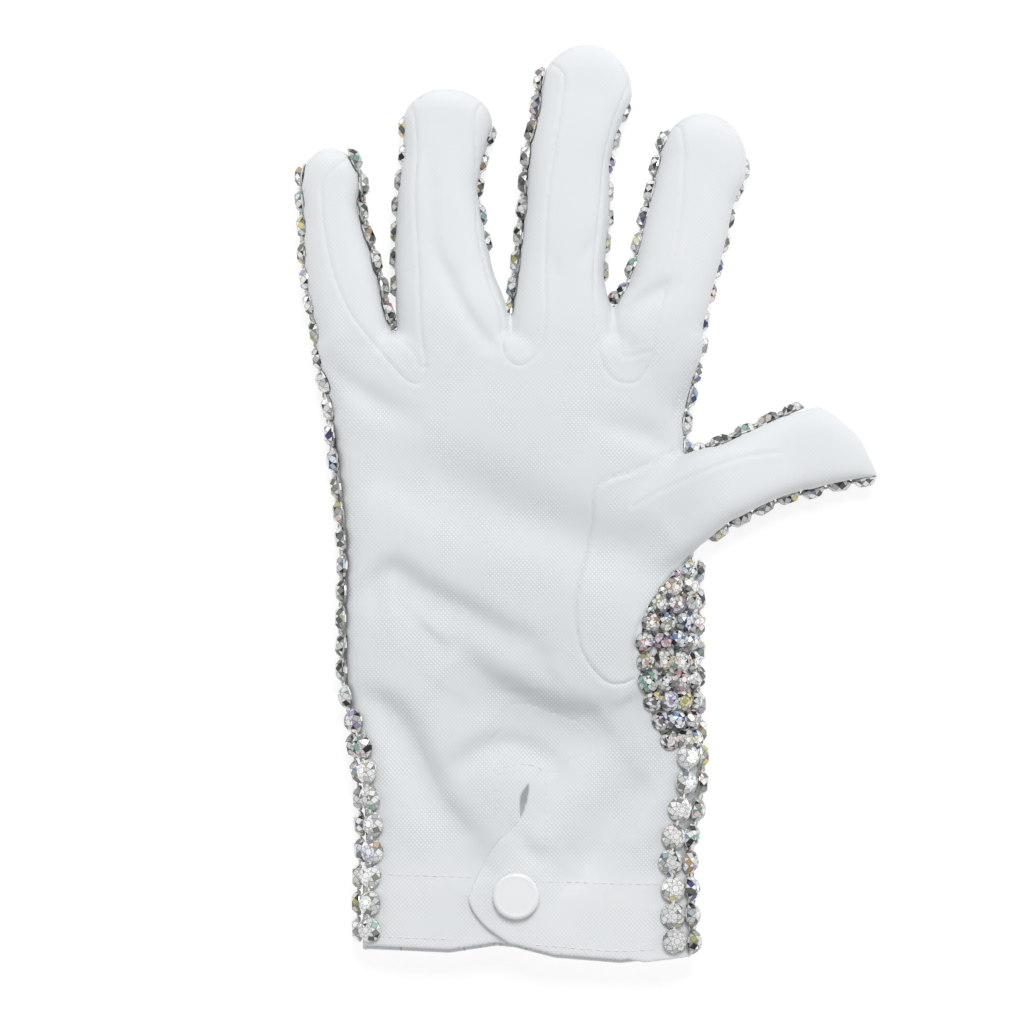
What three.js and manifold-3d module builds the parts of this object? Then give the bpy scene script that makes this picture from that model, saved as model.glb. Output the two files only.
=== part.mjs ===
// A right-hand dress glove that lies on its back, palm side up, with cut stones over the whole back.
// Millimetres. +X towards the thumb, +Y towards the fingertips, +Z up out of the palm. The tables of
// the stones on the back touch Z = 0, and the middle of the glove's plan is the origin.
import * as THREE from 'three';
import { mergeVertices } from 'three/addons/utils/BufferGeometryUtils.js';
import Module from 'manifold-3d';

const wasm = await Module();
wasm.setup();

// Cloth and seams
const CLOTH = 1.4; // wall of the cotton cloth
const HEM_WALL = 2.1; // the cuff's edge is turned up inside, so its wall is double
const HEM_TOP = -103; // upper line of the hem's stitches
const CLOTH_TOLERANCE = 0.16; // flat runs of facets are merged within this
const SEAM = 0.46; // two cloth pieces stop this far apart at a seam
const GAP = 0.3; // clearance between pieces that lie on each other

// Stones: a table, eight crown facets and a flat back. Two that meet share a low girdle face.
const STONE_PITCH = 6.9;
const STONE_GIRDLE = 0.6;
const STONE_HEIGHT = 2.4;
const STONE_TABLE = 0.56; // the table's width over the stone's
const BED_THICKNESS = STONE_HEIGHT;
const BED_TOLERANCE = 0.4;
const STONE_GAP = 0.5; // between the cloth and a stone's flat back

// Heights above the surface that the glove lies on
const CLOTH_BOTTOM = STONE_HEIGHT + GAP;
const WIDEST = 5.5; // height of every cross-section's widest line
const TIP_WIDEST = 7.5; // the same at the very end of a finger
const PANEL_SEAM = 11.3; // the palm panel ends and the back panel begins
const FOURCHETTE_LOW = 9.6; // lower seam of the strips between the fingers
const ABOVE_ALL = 40;

// Cross-section: a dome above the widest line, and below it a flat bottom with soft corners, whose
// points are shares of the half width and of the depth
const FINGER_DOME = 2.2;
const FINGER_FACETS = 7;
const PALM_FACETS = 13;
const BOTTOM_CORNER = [
  { across: 0.965, down: 0.6 },
  { across: 0.8, down: 1 },
];
const TIP_STEPS = [0, 0.5, 0.8, 0.96];
const TIP_STEPS_INSIDE = [0, 0.7, 0.96];

// Each finger: the cloth's centre line, half its width and the height of its crest, then its tip
const FINGERS = {
  little: {
    stations: [
      { x: -57.4, y: 24, half: 7.2, crest: 12.6 },
      { x: -60.6, y: 45, half: 10.3, crest: 15.3 },
      { x: -64.4, y: 58.7, half: 9.3, crest: 15 },
      { x: -66.1, y: 68, half: 8.3, crest: 14.6 },
      { x: -67.3, y: 77, half: 7.2, crest: 14.3 },
      { x: -67.3, y: 83, half: 7.8, crest: 14 },
    ],
    tip: { x: -67.1, y: 93.3 },
  },
  ring: {
    stations: [
      { x: -34.6, y: 24, half: 12.5, crest: 16.2 },
      { x: -34.7, y: 45, half: 14.8, crest: 16.5 },
      { x: -35.6, y: 51.5, half: 14.6, crest: 16.4 },
      { x: -37.3, y: 58.7, half: 13.1, crest: 16 },
      { x: -38.4, y: 70, half: 11.9, crest: 15.6 },
      { x: -38.9, y: 82, half: 10.5, crest: 15.2 },
      { x: -37.5, y: 91, half: 10.5, crest: 14.9 },
      { x: -36.4, y: 99.5, half: 11.8, crest: 14.6 },
    ],
    tip: { x: -35.8, y: 108.8 },
  },
  middle: {
    stations: [
      { x: -8, y: 24, half: 11.5, crest: 16.2 },
      { x: -6.4, y: 46, half: 13.5, crest: 16.5 },
      { x: -6.8, y: 56.5, half: 11.8, crest: 16.3 },
      { x: -6.4, y: 63, half: 11.2, crest: 16.1 },
      { x: -5, y: 76, half: 11.1, crest: 15.8 },
      { x: -4.4, y: 90, half: 10.7, crest: 15.4 },
      { x: -2.2, y: 100, half: 10.8, crest: 15 },
      { x: 0, y: 108, half: 12, crest: 14.6 },
    ],
    tip: { x: -0.9, y: 120.4 },
  },
  index: {
    stations: [
      { x: 14.4, y: 24, half: 9, crest: 13.2 },
      { x: 18.5, y: 46, half: 11.6, crest: 16.2 },
      { x: 21.3, y: 54, half: 11, crest: 16.2 },
      { x: 23, y: 60, half: 10.8, crest: 16 },
      { x: 26, y: 72, half: 11.1, crest: 15.6 },
      { x: 28.2, y: 81.5, half: 10.9, crest: 15.2 },
      { x: 30.5, y: 88.5, half: 11.7, crest: 14.8 },
    ],
    tip: { x: 31.1, y: 102.5 },
  },
  thumb: {
    stations: [
      { x: 2, y: -20, half: 7, crest: 14 },
      { x: 16, y: -8.5, half: 10.5, crest: 18.4 },
      { x: 29.5, y: 2.2, half: 12.3, crest: 18.4 },
      { x: 38, y: 5.6, half: 10.8, crest: 17.6 },
      { x: 46, y: 9.2, half: 10.6, crest: 16.8 },
      { x: 54, y: 12, half: 10.5, crest: 16 },
      { x: 62, y: 13.8, half: 11.2, crest: 15.2 },
    ],
    tip: { x: 77.3, y: 9.5 },
  },
};

// The body of the hand from below the cuff's edge to under the fingers: the cloth's left and right
// edges, its crest and how square its dome is
const PALM = [
  { y: -126, left: -58.9, right: 28, crest: 14.8, dome: 5 },
  { y: -109, left: -58.6, right: 27, crest: 15, dome: 5 },
  { y: -99, left: -58.7, right: 26.8, crest: 15.2, dome: 4.6 },
  { y: -90, left: -57.8, right: 26.6, crest: 15.5, dome: 4 },
  { y: -80, left: -58.2, right: 28.4, crest: 15.8, dome: 3.4 },
  { y: -70, left: -59, right: 29.4, crest: 16.3, dome: 2.9 },
  { y: -58, left: -61, right: 28.6, crest: 16.8, dome: 2.5 },
  { y: -46, left: -62.8, right: 28.2, crest: 17.6, dome: 2.3 },
  { y: -30, left: -63.1, right: 28.3, crest: 18.4, dome: 2.2 },
  { y: -14, left: -62.7, right: 28.2, crest: 18.6, dome: 2.2 },
  { y: 0, left: -63.9, right: 27, crest: 18.4, dome: 2.2 },
  { y: 14, left: -65.5, right: 25.6, crest: 17.8, dome: 2.2 },
  { y: 24, left: -67.2, right: 25.9, crest: 17.2, dome: 2.3 },
  { y: 33, left: -69.4, right: 28, crest: 16.4, dome: 2.6 },
  { y: 39, left: -70.6, right: 29.4, crest: 14.8, dome: 3 },
  { y: 43, left: -70.6, right: 30, crest: 11.6, dome: 3 },
  { y: 44.6, left: -70, right: 29.6, crest: 8, dome: 3 },
];
const PALM_RING_STEP = 8.1;

// Soft folds over the palm: a line in plan, the half width of the valley and its depth, which is
// negative for a ridge
const FOLDS = [
  { line: [[-70, 40], [-59.5, 31.6], [-46.3, 25.3], [-28, 19.3], [-10, 10]], reach: 4.5, depth: 2.2 },
  { line: [[-60.8, -22.7], [-51.6, -14.8], [-41, -19], [-30.6, -20], [-22.7, -26.6]], reach: 4.5, depth: 1.2 },
  { line: [[-28, -38.5], [-17.5, -49], [-4.3, -54.7], [5, -51]], reach: 4.5, depth: 1.5 },
  { line: [[-56.8, -49], [-49, -51.6], [-41.1, -67.3], [-33.2, -80.5]], reach: 4, depth: 1.2 },
  { line: [[-38.5, -71.3], [-29.3, -63.4], [-20, -61.6], [-4.3, -75.2]], reach: 4.2, depth: 1.4 },
  { line: [[14, -67.3], [3.5, -83.1], [-7, -96.2]], reach: 4.2, depth: 1.2 },
  { line: [[-50, 8], [-34, 2], [-20, -6]], reach: 7, depth: -0.7 },
  { line: [[-44, -36], [-30, -32]], reach: 7, depth: -0.7 },
];

// The cuff's lower edge in plan, which dips each side of the slit
const CUFF_EDGE = [
  [-70, -116.4], [-61.5, -116.4], [-36, -117.6], [-23.5, -115.7], [-18.7, -116.2],
  [-8.3, -118.9], [9, -120.3], [30, -117.9], [40, -117.9],
];

// Seams of the strips between the fingers, from one fingertip down to the palm and up the next
const FOURCHETTES = {
  fourchette_little_ring: [
    [-60, 92], [-68.5, 85], [-69.2, 76], [-66.8, 62], [-62.5, 51], [-57.5, 44], [-53, 38.5],
    [-47.5, 32.5], [-43.5, 31.5], [-42.2, 37], [-43.5, 46], [-44, 62], [-45, 80], [-44.5, 94], [-46, 106],
  ],
  fourchette_ring_middle: [
    [-25, 107], [-29, 102], [-29, 90], [-28.6, 72], [-25.4, 58], [-22.2, 49], [-22.2, 43], [-21, 38],
    [-17, 36], [-12.5, 40], [-10.8, 48], [-10.9, 62], [-10.2, 80], [-8, 96], [-6, 112], [-13, 116],
  ],
  fourchette_middle_index: [
    [13, 114], [10, 108], [5.1, 93], [3.5, 78], [2, 62], [2.2, 47], [4, 37],
    [7.5, 32.2], [12.5, 31.6], [16, 35.5], [17.6, 43], [21, 58], [23.7, 70], [25.2, 84], [24.5, 98], [17, 102],
  ],
};

// The thumb piece's curved seam over the palm, from the notch by the first finger round to the
// stones under the thumb
const THUMB_SEAM = [
  [29.8, 20], [27.3, 17.3], [22, 13.5], [14, 8.8], [5, 5.6], [1.6, 2], [1.4, -5], [0, -13],
  [-2.6, -25], [-2.6, -33], [-0.6, -40], [4.5, -46.2], [9, -47.2], [13, -45.5],
];
const THUMB_LOWER_EDGE = [
  [12.2, -40], [13.5, -32], [17, -26.5], [20.4, -21.4], [24.8, -16.4], [29.8, -13.8],
];
const THUMB_ROOT = 30; // the thumb's tube begins here

// How far the back panel and its stones come round on to the palm side
const WRAP_LEFT = [
  [-66, -50], [-61.5, -55.5], [-57.5, -62], [-56, -76], [-54.5, -86], [-54, -97], [-54.5, -110], [-54.5, -130],
];
const WRAP_RIGHT = [
  [13, -45.5], [13.4, -53], [17.6, -59], [20.5, -63], [24.2, -66], [24.4, -71], [22.8, -80],
  [21.2, -89], [20.6, -100], [20.6, -130],
];

// Slit over the pulse: an open eye at its head, a cut down to the cuff's edge, and the right half's
// flap that laps over the left
const SLIT_EYE = [
  [-15.4, -72.9], [-17.5, -76], [-17.9, -79], [-17.6, -82.7], [-16.7, -81.8], [-15.4, -78.5], [-14.8, -74.2],
];
const SLIT_CUT = [[-17.2, -81], [-14.8, -88], [-14, -98], [-13.8, -125]];
const SLIT_CUT_WIDTH = 0.8;
const FLAP = [
  [-17.4, -83.2], [-20.6, -86.2], [-24.1, -90.2], [-27.2, -95.2], [-30, -101.7], [-30.4, -103.8],
  [-29.1, -106.7], [-26.6, -109.8], [-23.6, -112.2], [-19.6, -114.8], [-15.6, -117], [-12, -125],
  [-10.4, -112], [-11, -96], [-13.4, -84],
];
const FLAP_EDGE = [[-13.4, -84], [-11, -96], [-10.4, -112], [-11.5, -123]];
const FLAP_ROOT = 3; // the flap joins the palm this far in from its right edge
const SNAP = { x: -18.5, y: -102.5, radius: 6.1, height: 1.9 };
const SNAP_POST = { radius: 2, flange: 4.4, thickness: 0.8 };
const SNAP_SIDES = 20;

// Stones along the edges of the fingers. arc is the way up a section from its widest line, and the
// rows run between two places along the hand, or along X on the thumb
const EDGE_ARC = 1.7;
const EDGE_ROWS = [
  { name: 'stones_little_right', finger: 'little', side: 1, from: 90.3, to: 55.5 },
  { name: 'stones_ring_left', finger: 'ring', side: -1, from: 99.5, to: 63 },
  { name: 'stones_ring_right', finger: 'ring', side: 1, from: 96.8, to: 65 },
  { name: 'stones_middle_left', finger: 'middle', side: -1, from: 112.1, to: 55 },
  { name: 'stones_middle_right', finger: 'middle', side: 1, from: 103.4, to: 66 },
  { name: 'stones_index_left', finger: 'index', side: -1, from: 95.5, to: 53 },
  { name: 'stones_thumb_upper', finger: 'thumb', side: -1, fromX: 55, toX: 31 },
  { name: 'stones_thumb_lower', finger: 'thumb', side: 1, fromX: 72, toX: 36 },
];

// Down the hand's sides the edge column climbs on to the palm towards the cuff
const LEFT_CLIMB = [
  { y: 120, arc: 1.7 },
  { y: -44, arc: 1.7 },
  { y: -52, arc: 3.2 },
  { y: -58, arc: 4.9 },
  { y: -64, arc: 6.1 },
  { y: -76, arc: 6.9 },
  { y: -85, arc: 8.2 },
  { y: -100, arc: 8.9 },
  { y: -130, arc: 8.6 },
];
const RIGHT_CLIMB = [
  { y: 120, arc: -1.9 },
  { y: -57, arc: -1.9 },
  { y: -66, arc: 0.6 },
  { y: -74, arc: 1 },
  { y: -80, arc: 2.3 },
  { y: -87, arc: 3.3 },
  { y: -94, arc: 3.6 },
  { y: -130, arc: 3.6 },
];
const HAND_TOP_LEFT = 38;
const HAND_TOP_RIGHT = -18;
const LOWEST_STONE = -115;
const STONE_COLUMNS_RIGHT = 4;
const SECOND_COLUMN_ARC = 5.4; // a second column starts outside once the edge column is this high

const cloth = new THREE.MeshStandardMaterial({ name: 'cloth', color: 0xeceeef, roughness: 0.92, metalness: 0 });
const stoneGlass = new THREE.MeshStandardMaterial({ name: 'stone', color: 0xc9cfdd, roughness: 0.08, metalness: 0.1 });
const snapPlastic = new THREE.MeshStandardMaterial({ name: 'snap', color: 0xf2f4f4, roughness: 0.3, metalness: 0 });

// Solids: three.js geometry in, joined or cut, and back

function toSolid(geometry) {
  const bare = geometry.clone();
  for (const name of Object.keys(bare.attributes)) {
    if (name !== 'position') bare.deleteAttribute(name);
  }
  const merged = mergeVertices(bare, 1e-4);
  return new wasm.Manifold(new wasm.Mesh({
    numProp: 3,
    vertProperties: new Float32Array(merged.attributes.position.array),
    triVerts: new Uint32Array(merged.index.array),
  }));
}

function toGeometry(solid) {
  const mesh = solid.getMesh();
  const geometry = new THREE.BufferGeometry();
  geometry.setAttribute('position', new THREE.BufferAttribute(new Float32Array(mesh.vertProperties), 3));
  geometry.setIndex(new THREE.BufferAttribute(new Uint32Array(mesh.triVerts), 1));
  return geometry;
}

function unite(solids) {
  return solids.reduce((whole, solid) => whole.add(solid));
}

function largestBody(solid) {
  return solid.decompose().reduce((best, body) => (body.volume() > best.volume() ? body : best));
}

function closedMesh(points, triangles) {
  const geometry = new THREE.BufferGeometry().setFromPoints(points);
  geometry.setIndex(triangles);
  return geometry;
}

function prism(outline, low, high) {
  const shape = new THREE.Shape(outline.map(([x, y]) => new THREE.Vector2(x, y)));
  const geometry = new THREE.ExtrudeGeometry(shape, { depth: high - low, bevelEnabled: false });
  return toSolid(geometry.translate(0, 0, low));
}

function smooth(points, steps = 2) {
  const curve = new THREE.SplineCurve(points.map(([x, y]) => new THREE.Vector2(x, y)));
  return curve.getPoints((points.length - 1) * steps).map((p) => [p.x, p.y]);
}

// A thin upright wall along a line in plan
function ribbon(line, width, low, high) {
  const side = (sign) => line.map(([x, y], i) => {
    const [ax, ay] = line[Math.max(i - 1, 0)];
    const [bx, by] = line[Math.min(i + 1, line.length - 1)];
    const run = Math.hypot(bx - ax, by - ay);
    return [x - (sign * width * (by - ay)) / (2 * run), y + (sign * width * (bx - ax)) / (2 * run)];
  });
  return prism([...side(1), ...side(-1).reverse()], low, high);
}

// Soft hollow forms: rings of one cross-section along a centre line

// One cross-section as points across and up
function section({ half, crest, dome, widest, bottom }, facets) {
  const points = [];
  for (let k = 0; k <= facets; k += 1) {
    const angle = (Math.PI * k) / facets;
    const [c, s] = [Math.cos(angle), Math.sin(angle)];
    points.push({
      across: half * Math.sign(c) * Math.abs(c) ** (2 / dome),
      up: widest + (crest - widest) * Math.abs(s) ** (2 / dome),
    });
  }
  const corner = BOTTOM_CORNER.map(({ across, down }) => ({
    across: half * across,
    up: widest - (widest - bottom) * down,
  }));
  const mirrored = corner.map(({ across, up }) => ({ across: -across, up }));
  return [...points, ...mirrored, ...corner.reverse()];
}

function headings(stations) {
  return stations.map((s, i) => {
    const a = stations[Math.max(i - 1, 0)];
    const b = stations[Math.min(i + 1, stations.length - 1)];
    return new THREE.Vector2(b.x - a.x, b.y - a.y).normalize();
  });
}

function loft(rings) {
  const sides = rings[0].points.length;
  const points = rings.flatMap((ring) => ring.points.map(({ across, up }) => new THREE.Vector3(
    ring.x + ring.heading.y * across,
    ring.y - ring.heading.x * across,
    up,
  )));
  const triangles = [];
  for (let r = 0; r + 1 < rings.length; r += 1) {
    for (let k = 0; k < sides; k += 1) {
      const next = (k + 1) % sides;
      const [a, b, c, d] = [r * sides + k, r * sides + next, (r + 1) * sides + next, (r + 1) * sides + k];
      triangles.push(a, c, b, a, d, c);
    }
  }
  const last = (rings.length - 1) * sides;
  for (let k = 1; k + 1 < sides; k += 1) {
    triangles.push(0, k, k + 1, last, last + k + 1, last + k);
  }
  return toSolid(closedMesh(points, triangles));
}

// A finger's rings: its stations, then the tip, which shrinks as an ellipse does
function fingerRings({ stations: all, tip }, inset, tipSteps) {
  // The inside follows every second station
  const stations = inset > 0 ? all.filter((_, i) => i === 0 || (all.length - 1 - i) % 2 === 0) : all;
  const turns = headings(stations);
  const rings = stations.map((s, i) => ({
    ...s,
    half: s.half - inset,
    crest: s.crest - inset,
    heading: turns[i],
    dome: FINGER_DOME,
    widest: WIDEST,
    bottom: CLOTH_BOTTOM + inset,
  }));
  const start = rings.pop();
  const reach = new THREE.Vector2(tip.x - start.x, tip.y - start.y);
  const length = reach.length() - inset;
  const towards = reach.clone().normalize();
  for (const f of tipSteps) {
    const share = Math.sqrt(1 - f * f);
    const widest = WIDEST + (TIP_WIDEST - WIDEST) * f * f;
    rings.push({
      x: start.x + towards.x * f * length,
      y: start.y + towards.y * f * length,
      heading: f === 0 ? start.heading.clone().add(towards).normalize() : towards,
      half: start.half * share,
      crest: widest + (start.crest - WIDEST) * share,
      dome: FINGER_DOME,
      widest,
      bottom: widest - (WIDEST - start.bottom) * share,
    });
  }
  return rings;
}

function fingerSolid(finger, inset) {
  const rings = fingerRings(finger, inset, inset > 0 ? TIP_STEPS_INSIDE : TIP_STEPS);
  return loft(rings.map((ring) => ({ ...ring, points: section(ring, FINGER_FACETS) })));
}

// Where the hand's cross-section is at a place along it, between the rows of the table
function palmStation(y) {
  const after = PALM.findIndex((s) => s.y > y);
  const i = after < 1 ? PALM.length - 1 : after;
  const [a, b] = [PALM[i - 1], PALM[i]];
  const t = (y - a.y) / (b.y - a.y);
  const mix = (key) => a[key] + (b[key] - a[key]) * t;
  const [left, right] = [mix('left'), mix('right')];
  return {
    x: (left + right) / 2,
    y,
    half: (right - left) / 2,
    crest: mix('crest'),
    dome: mix('dome'),
    heading: new THREE.Vector2(0, 1),
    widest: WIDEST,
    bottom: CLOTH_BOTTOM,
  };
}

function distanceToLine(x, y, line) {
  let best = Infinity;
  for (let i = 0; i + 1 < line.length; i += 1) {
    const [[ax, ay], [bx, by]] = [line[i], line[i + 1]];
    const [ux, uy] = [bx - ax, by - ay];
    const t = Math.min(Math.max(((x - ax) * ux + (y - ay) * uy) / (ux * ux + uy * uy), 0), 1);
    best = Math.min(best, Math.hypot(x - ax - t * ux, y - ay - t * uy));
  }
  return best;
}

function foldDepth(x, y) {
  return FOLDS.reduce((sum, { line, reach, depth }) => {
    const share = distanceToLine(x, y, line) / reach;
    return sum + depth * Math.exp(-share * share);
  }, 0);
}

const palmRows = (() => {
  const ends = PALM.slice(-5).map((s) => s.y);
  const rows = [...ends];
  for (let y = PALM[0].y; y < ends[0] - 2; y += PALM_RING_STEP) rows.push(y);
  return rows.sort((a, b) => a - b);
})();

// inset is a number, or a function of the place along the hand. Folds fade out at the side walls.
function palmSolid(rows, inset) {
  return loft(rows.map((y) => {
    const ring = palmStation(y);
    const wall = typeof inset === 'function' ? inset(y) : inset;
    ring.half -= wall;
    ring.crest -= wall;
    ring.bottom += wall;
    const points = section(ring, PALM_FACETS).map(({ across, up }) => {
      const fade = Math.max(Math.min((up - PANEL_SEAM) / 3, 1), 0);
      return { across, up: up - fade * foldDepth(ring.x + across, y) };
    });
    return { ...ring, points };
  }));
}

const fingerForms = (inset) => Object.values(FINGERS).map((finger) => fingerSolid(finger, inset));
const outside = unite([palmSolid(palmRows, 0), ...fingerForms(0)]);
const hemRows = [...palmRows.filter((y) => y < HEM_TOP - 1 || y > HEM_TOP + 2), HEM_TOP, HEM_TOP + 1];
const cavityInset = (y) => (y <= HEM_TOP ? HEM_WALL : CLOTH);
const inside = unite([palmSolid(hemRows.sort((a, b) => a - b), cavityInset), ...fingerForms(CLOTH)]);
const belowCuff = prism([...CUFF_EDGE, [40, -140], [-70, -140]], -5, ABOVE_ALL);
const skin = outside.subtract(inside).subtract(belowCuff);

// Regions of the cloth pieces, and the narrow slots that part them

const fourchetteLines = Object.fromEntries(
  Object.entries(FOURCHETTES).map(([name, line]) => [name, smooth(line, 1)]),
);
const thumbLine = smooth(THUMB_SEAM);
const thumbEdgeLine = smooth(THUMB_LOWER_EDGE);
const wrapLeftLine = smooth(WRAP_LEFT);
const wrapRightLine = smooth(WRAP_RIGHT);

const fourchetteRegions = Object.fromEntries(
  Object.entries(fourchetteLines).map(([name, line]) => [name, prism(line, FOURCHETTE_LOW, ABOVE_ALL)]),
);
const thumbTube = prism([[THUMB_ROOT, 20], [THUMB_ROOT, -19], [50, -19], [90, -5], [90, 35], [45, 30]], -5, ABOVE_ALL);
const thumbRegion = prism(
  [...thumbLine, ...thumbEdgeLine, [50, -14], [90, -5], [90, 35], [45, 30]],
  PANEL_SEAM,
  ABOVE_ALL,
).add(thumbTube);
const wrapRegions = prism([...wrapLeftLine, [-80, -130], [-80, -50]], -5, ABOVE_ALL).add(
  prism([...wrapRightLine, [60, -130], [60, -14], ...thumbEdgeLine.slice().reverse()], -5, ABOVE_ALL),
).subtract(thumbRegion);
const fourchettes = unite(Object.values(fourchetteRegions));
const lowRegion = prism([[-100, -140], [100, -140], [100, 140], [-100, 140]], -5, PANEL_SEAM);
const backRegion = lowRegion.add(wrapRegions).subtract(thumbRegion).subtract(fourchettes);

const panelSlot = prism([[-100, -140], [100, -140], [100, 140], [-100, 140]], PANEL_SEAM - SEAM / 2, PANEL_SEAM + SEAM / 2)
  .subtract(wrapRegions)
  .subtract(thumbTube)
  .subtract(fourchettes);
const slots = unite([
  panelSlot,
  ...Object.values(fourchetteLines).map((line) => ribbon(line, SEAM, FOURCHETTE_LOW - SEAM / 2, ABOVE_ALL)),
  ...Object.values(fourchetteLines).map((line) => prism(line, FOURCHETTE_LOW - SEAM / 2, FOURCHETTE_LOW + SEAM / 2)),
  ribbon(thumbLine, SEAM, PANEL_SEAM - SEAM / 2, ABOVE_ALL),
  ribbon([thumbLine[thumbLine.length - 1], ...thumbEdgeLine], SEAM, PANEL_SEAM - SEAM / 2, ABOVE_ALL),
  ribbon([[THUMB_ROOT, 24], [THUMB_ROOT, -19]], SEAM, -5, PANEL_SEAM + SEAM / 2),
  ribbon([[THUMB_ROOT, -12], [THUMB_ROOT, -19]], SEAM, -5, ABOVE_ALL),
  ribbon(wrapLeftLine, SEAM, PANEL_SEAM - SEAM / 2, ABOVE_ALL),
  ribbon(wrapRightLine, SEAM, PANEL_SEAM - SEAM / 2, ABOVE_ALL),
]);
const parted = skin.subtract(slots);

const slitEye = prism(smooth([...SLIT_EYE, SLIT_EYE[0]]).slice(0, -1), PANEL_SEAM, ABOVE_ALL);
const slitCut = ribbon(SLIT_CUT, SLIT_CUT_WIDTH, PANEL_SEAM, ABOVE_ALL);

// The flap lies on the left half of the slit and grows out of the right half
function flapSolid() {
  const region = prism(smooth(FLAP), PANEL_SEAM, ABOVE_ALL);
  const lapped = palmSolid(palmRows, -(GAP + CLOTH)).subtract(palmSolid(palmRows, -GAP));
  const root = palmSolid(palmRows, -(GAP + CLOTH)).subtract(palmSolid(palmRows, CLOTH / 2));
  const rootRegion = ribbon(FLAP_EDGE, FLAP_ROOT, PANEL_SEAM, ABOVE_ALL);
  const joined = lapped.intersect(region).add(root.intersect(region).intersect(rootRegion));
  return joined.subtract(belowCuff);
}

function clothPieces() {
  const above = parted.subtract(backRegion).subtract(thumbRegion).subtract(fourchettes);
  const panel = largestBody(above.subtract(slitEye).subtract(slitCut));
  const pieces = {
    palm_panel: largestBody(panel.add(flapSolid()).subtract(snapHole())),
    back_panel: largestBody(parted.intersect(backRegion)),
    thumb: largestBody(parted.intersect(thumbRegion)),
  };
  for (const [name, region] of Object.entries(fourchetteRegions)) {
    pieces[name] = largestBody(parted.intersect(region));
  }
  return pieces;
}

// Height of the palm's cloth over a place in plan
function palmTop(x, y) {
  const { x: middle, half, crest, dome } = palmStation(y);
  const share = Math.min(Math.abs(x - middle) / half, 1);
  const up = WIDEST + (crest - WIDEST) * (1 - share ** dome) ** (1 / dome);
  return up - Math.max(Math.min((up - PANEL_SEAM) / 3, 1), 0) * foldDepth(x, y);
}

const aroundSnap = (radius) => [[0, 0], [1, 0], [-1, 0], [0, 1], [0, -1]].map(
  ([dx, dy]) => palmTop(SNAP.x + dx * radius, SNAP.y + dy * radius),
);
const snapSeat = Math.max(...aroundSnap(SNAP.radius)) + GAP + CLOTH + GAP + 0.1;

function turned(profile, sides = SNAP_SIDES) {
  const line = profile.map(([r, z]) => new THREE.Vector2(r, z));
  const geometry = new THREE.LatheGeometry(line, sides).rotateX(Math.PI / 2);
  return toSolid(geometry.translate(SNAP.x, SNAP.y, 0));
}

function snapCap() {
  const { radius, height } = SNAP;
  return turned([
    [0, 0], [radius * 0.95, 0], [radius, height * 0.4], [radius * 0.93, height * 0.85],
    [radius * 0.78, height], [radius * 0.7, height * 0.88], [0, height * 0.88],
  ]).translate([0, 0, snapSeat]);
}

// The hidden post goes through the flap and the palm to a flange inside the hem
function snapPost() {
  const { radius, flange, thickness } = SNAP_POST;
  const low = Math.min(...aroundSnap(flange)) - HEM_WALL - GAP - thickness - 0.1;
  const high = snapSeat - GAP;
  const shape = [
    [0, low], [flange, low], [flange, low + thickness], [radius, low + thickness], [radius, high], [0, high],
  ];
  return turned(shape, 12);
}

function snapHole() {
  const radius = SNAP_POST.radius + GAP;
  return turned([[0, 6], [radius, 6], [radius, ABOVE_ALL], [0, ABOVE_ALL]], 12);
}

// Stones. A frame is a place a little off the cloth with the cloth's normal there.

// arc is the way up the section from its widest line, or below it on an upright wall if it is
// negative. side 1 is the right of the heading.
function sideFrame(ring, side, arc) {
  const curve = section(ring, 96).slice(0, 49);
  const run = (i) => Math.hypot(curve[i + 1].across - curve[i].across, curve[i + 1].up - curve[i].up);
  let left = Math.max(arc, 0);
  let k = 0;
  while (left > run(k) && k < 47) {
    left -= run(k);
    k += 1;
  }
  const t = left / run(k);
  const across = curve[k].across + (curve[k + 1].across - curve[k].across) * t;
  const up = curve[k].up + (curve[k + 1].up - curve[k].up) * t;
  const out = (curve[k + 1].up - curve[k].up) / run(k);
  const rise = (curve[k].across - curve[k + 1].across) / run(k);
  const right = new THREE.Vector3(ring.heading.y, -ring.heading.x, 0).multiplyScalar(side);
  const normal = right.clone().multiplyScalar(out).add(new THREE.Vector3(0, 0, rise));
  const place = new THREE.Vector3(ring.x, ring.y, up + Math.min(arc, 0))
    .addScaledVector(right, across)
    .addScaledVector(normal, STONE_GAP);
  return { place, normal };
}

function mixedRing(a, b, t) {
  const ring = {};
  for (const key of ['x', 'y', 'half', 'crest', 'dome', 'widest', 'bottom']) ring[key] = a[key] + (b[key] - a[key]) * t;
  ring.heading = a.heading.clone().lerp(b.heading, t).normalize();
  return ring;
}

// Frames down one side of a finger from its tip to its root
function fingerFrames(finger, side, arc) {
  const rings = fingerRings(finger, 0, [0, 0.3, 0.5, 0.7]).reverse();
  const frames = [];
  for (let i = 0; i + 1 < rings.length; i += 1) {
    for (let k = 0; k < 4; k += 1) frames.push(sideFrame(mixedRing(rings[i], rings[i + 1], k / 4), side, arc));
  }
  return frames;
}

// Stones a pitch apart along a run of frames
function spaced(frames) {
  const stones = [];
  let walked = 0;
  for (let i = 0; i + 1 < frames.length; i += 1) {
    const run = frames[i].place.distanceTo(frames[i + 1].place);
    while (stones.length * STONE_PITCH <= walked + run) {
      const t = (stones.length * STONE_PITCH - walked) / run;
      stones.push({
        place: frames[i].place.clone().lerp(frames[i + 1].place, t),
        normal: frames[i].normal.clone().lerp(frames[i + 1].normal, t).normalize(),
        along: frames[i + 1].place.clone().sub(frames[i].place).normalize(),
      });
    }
    walked += run;
  }
  return stones;
}

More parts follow.
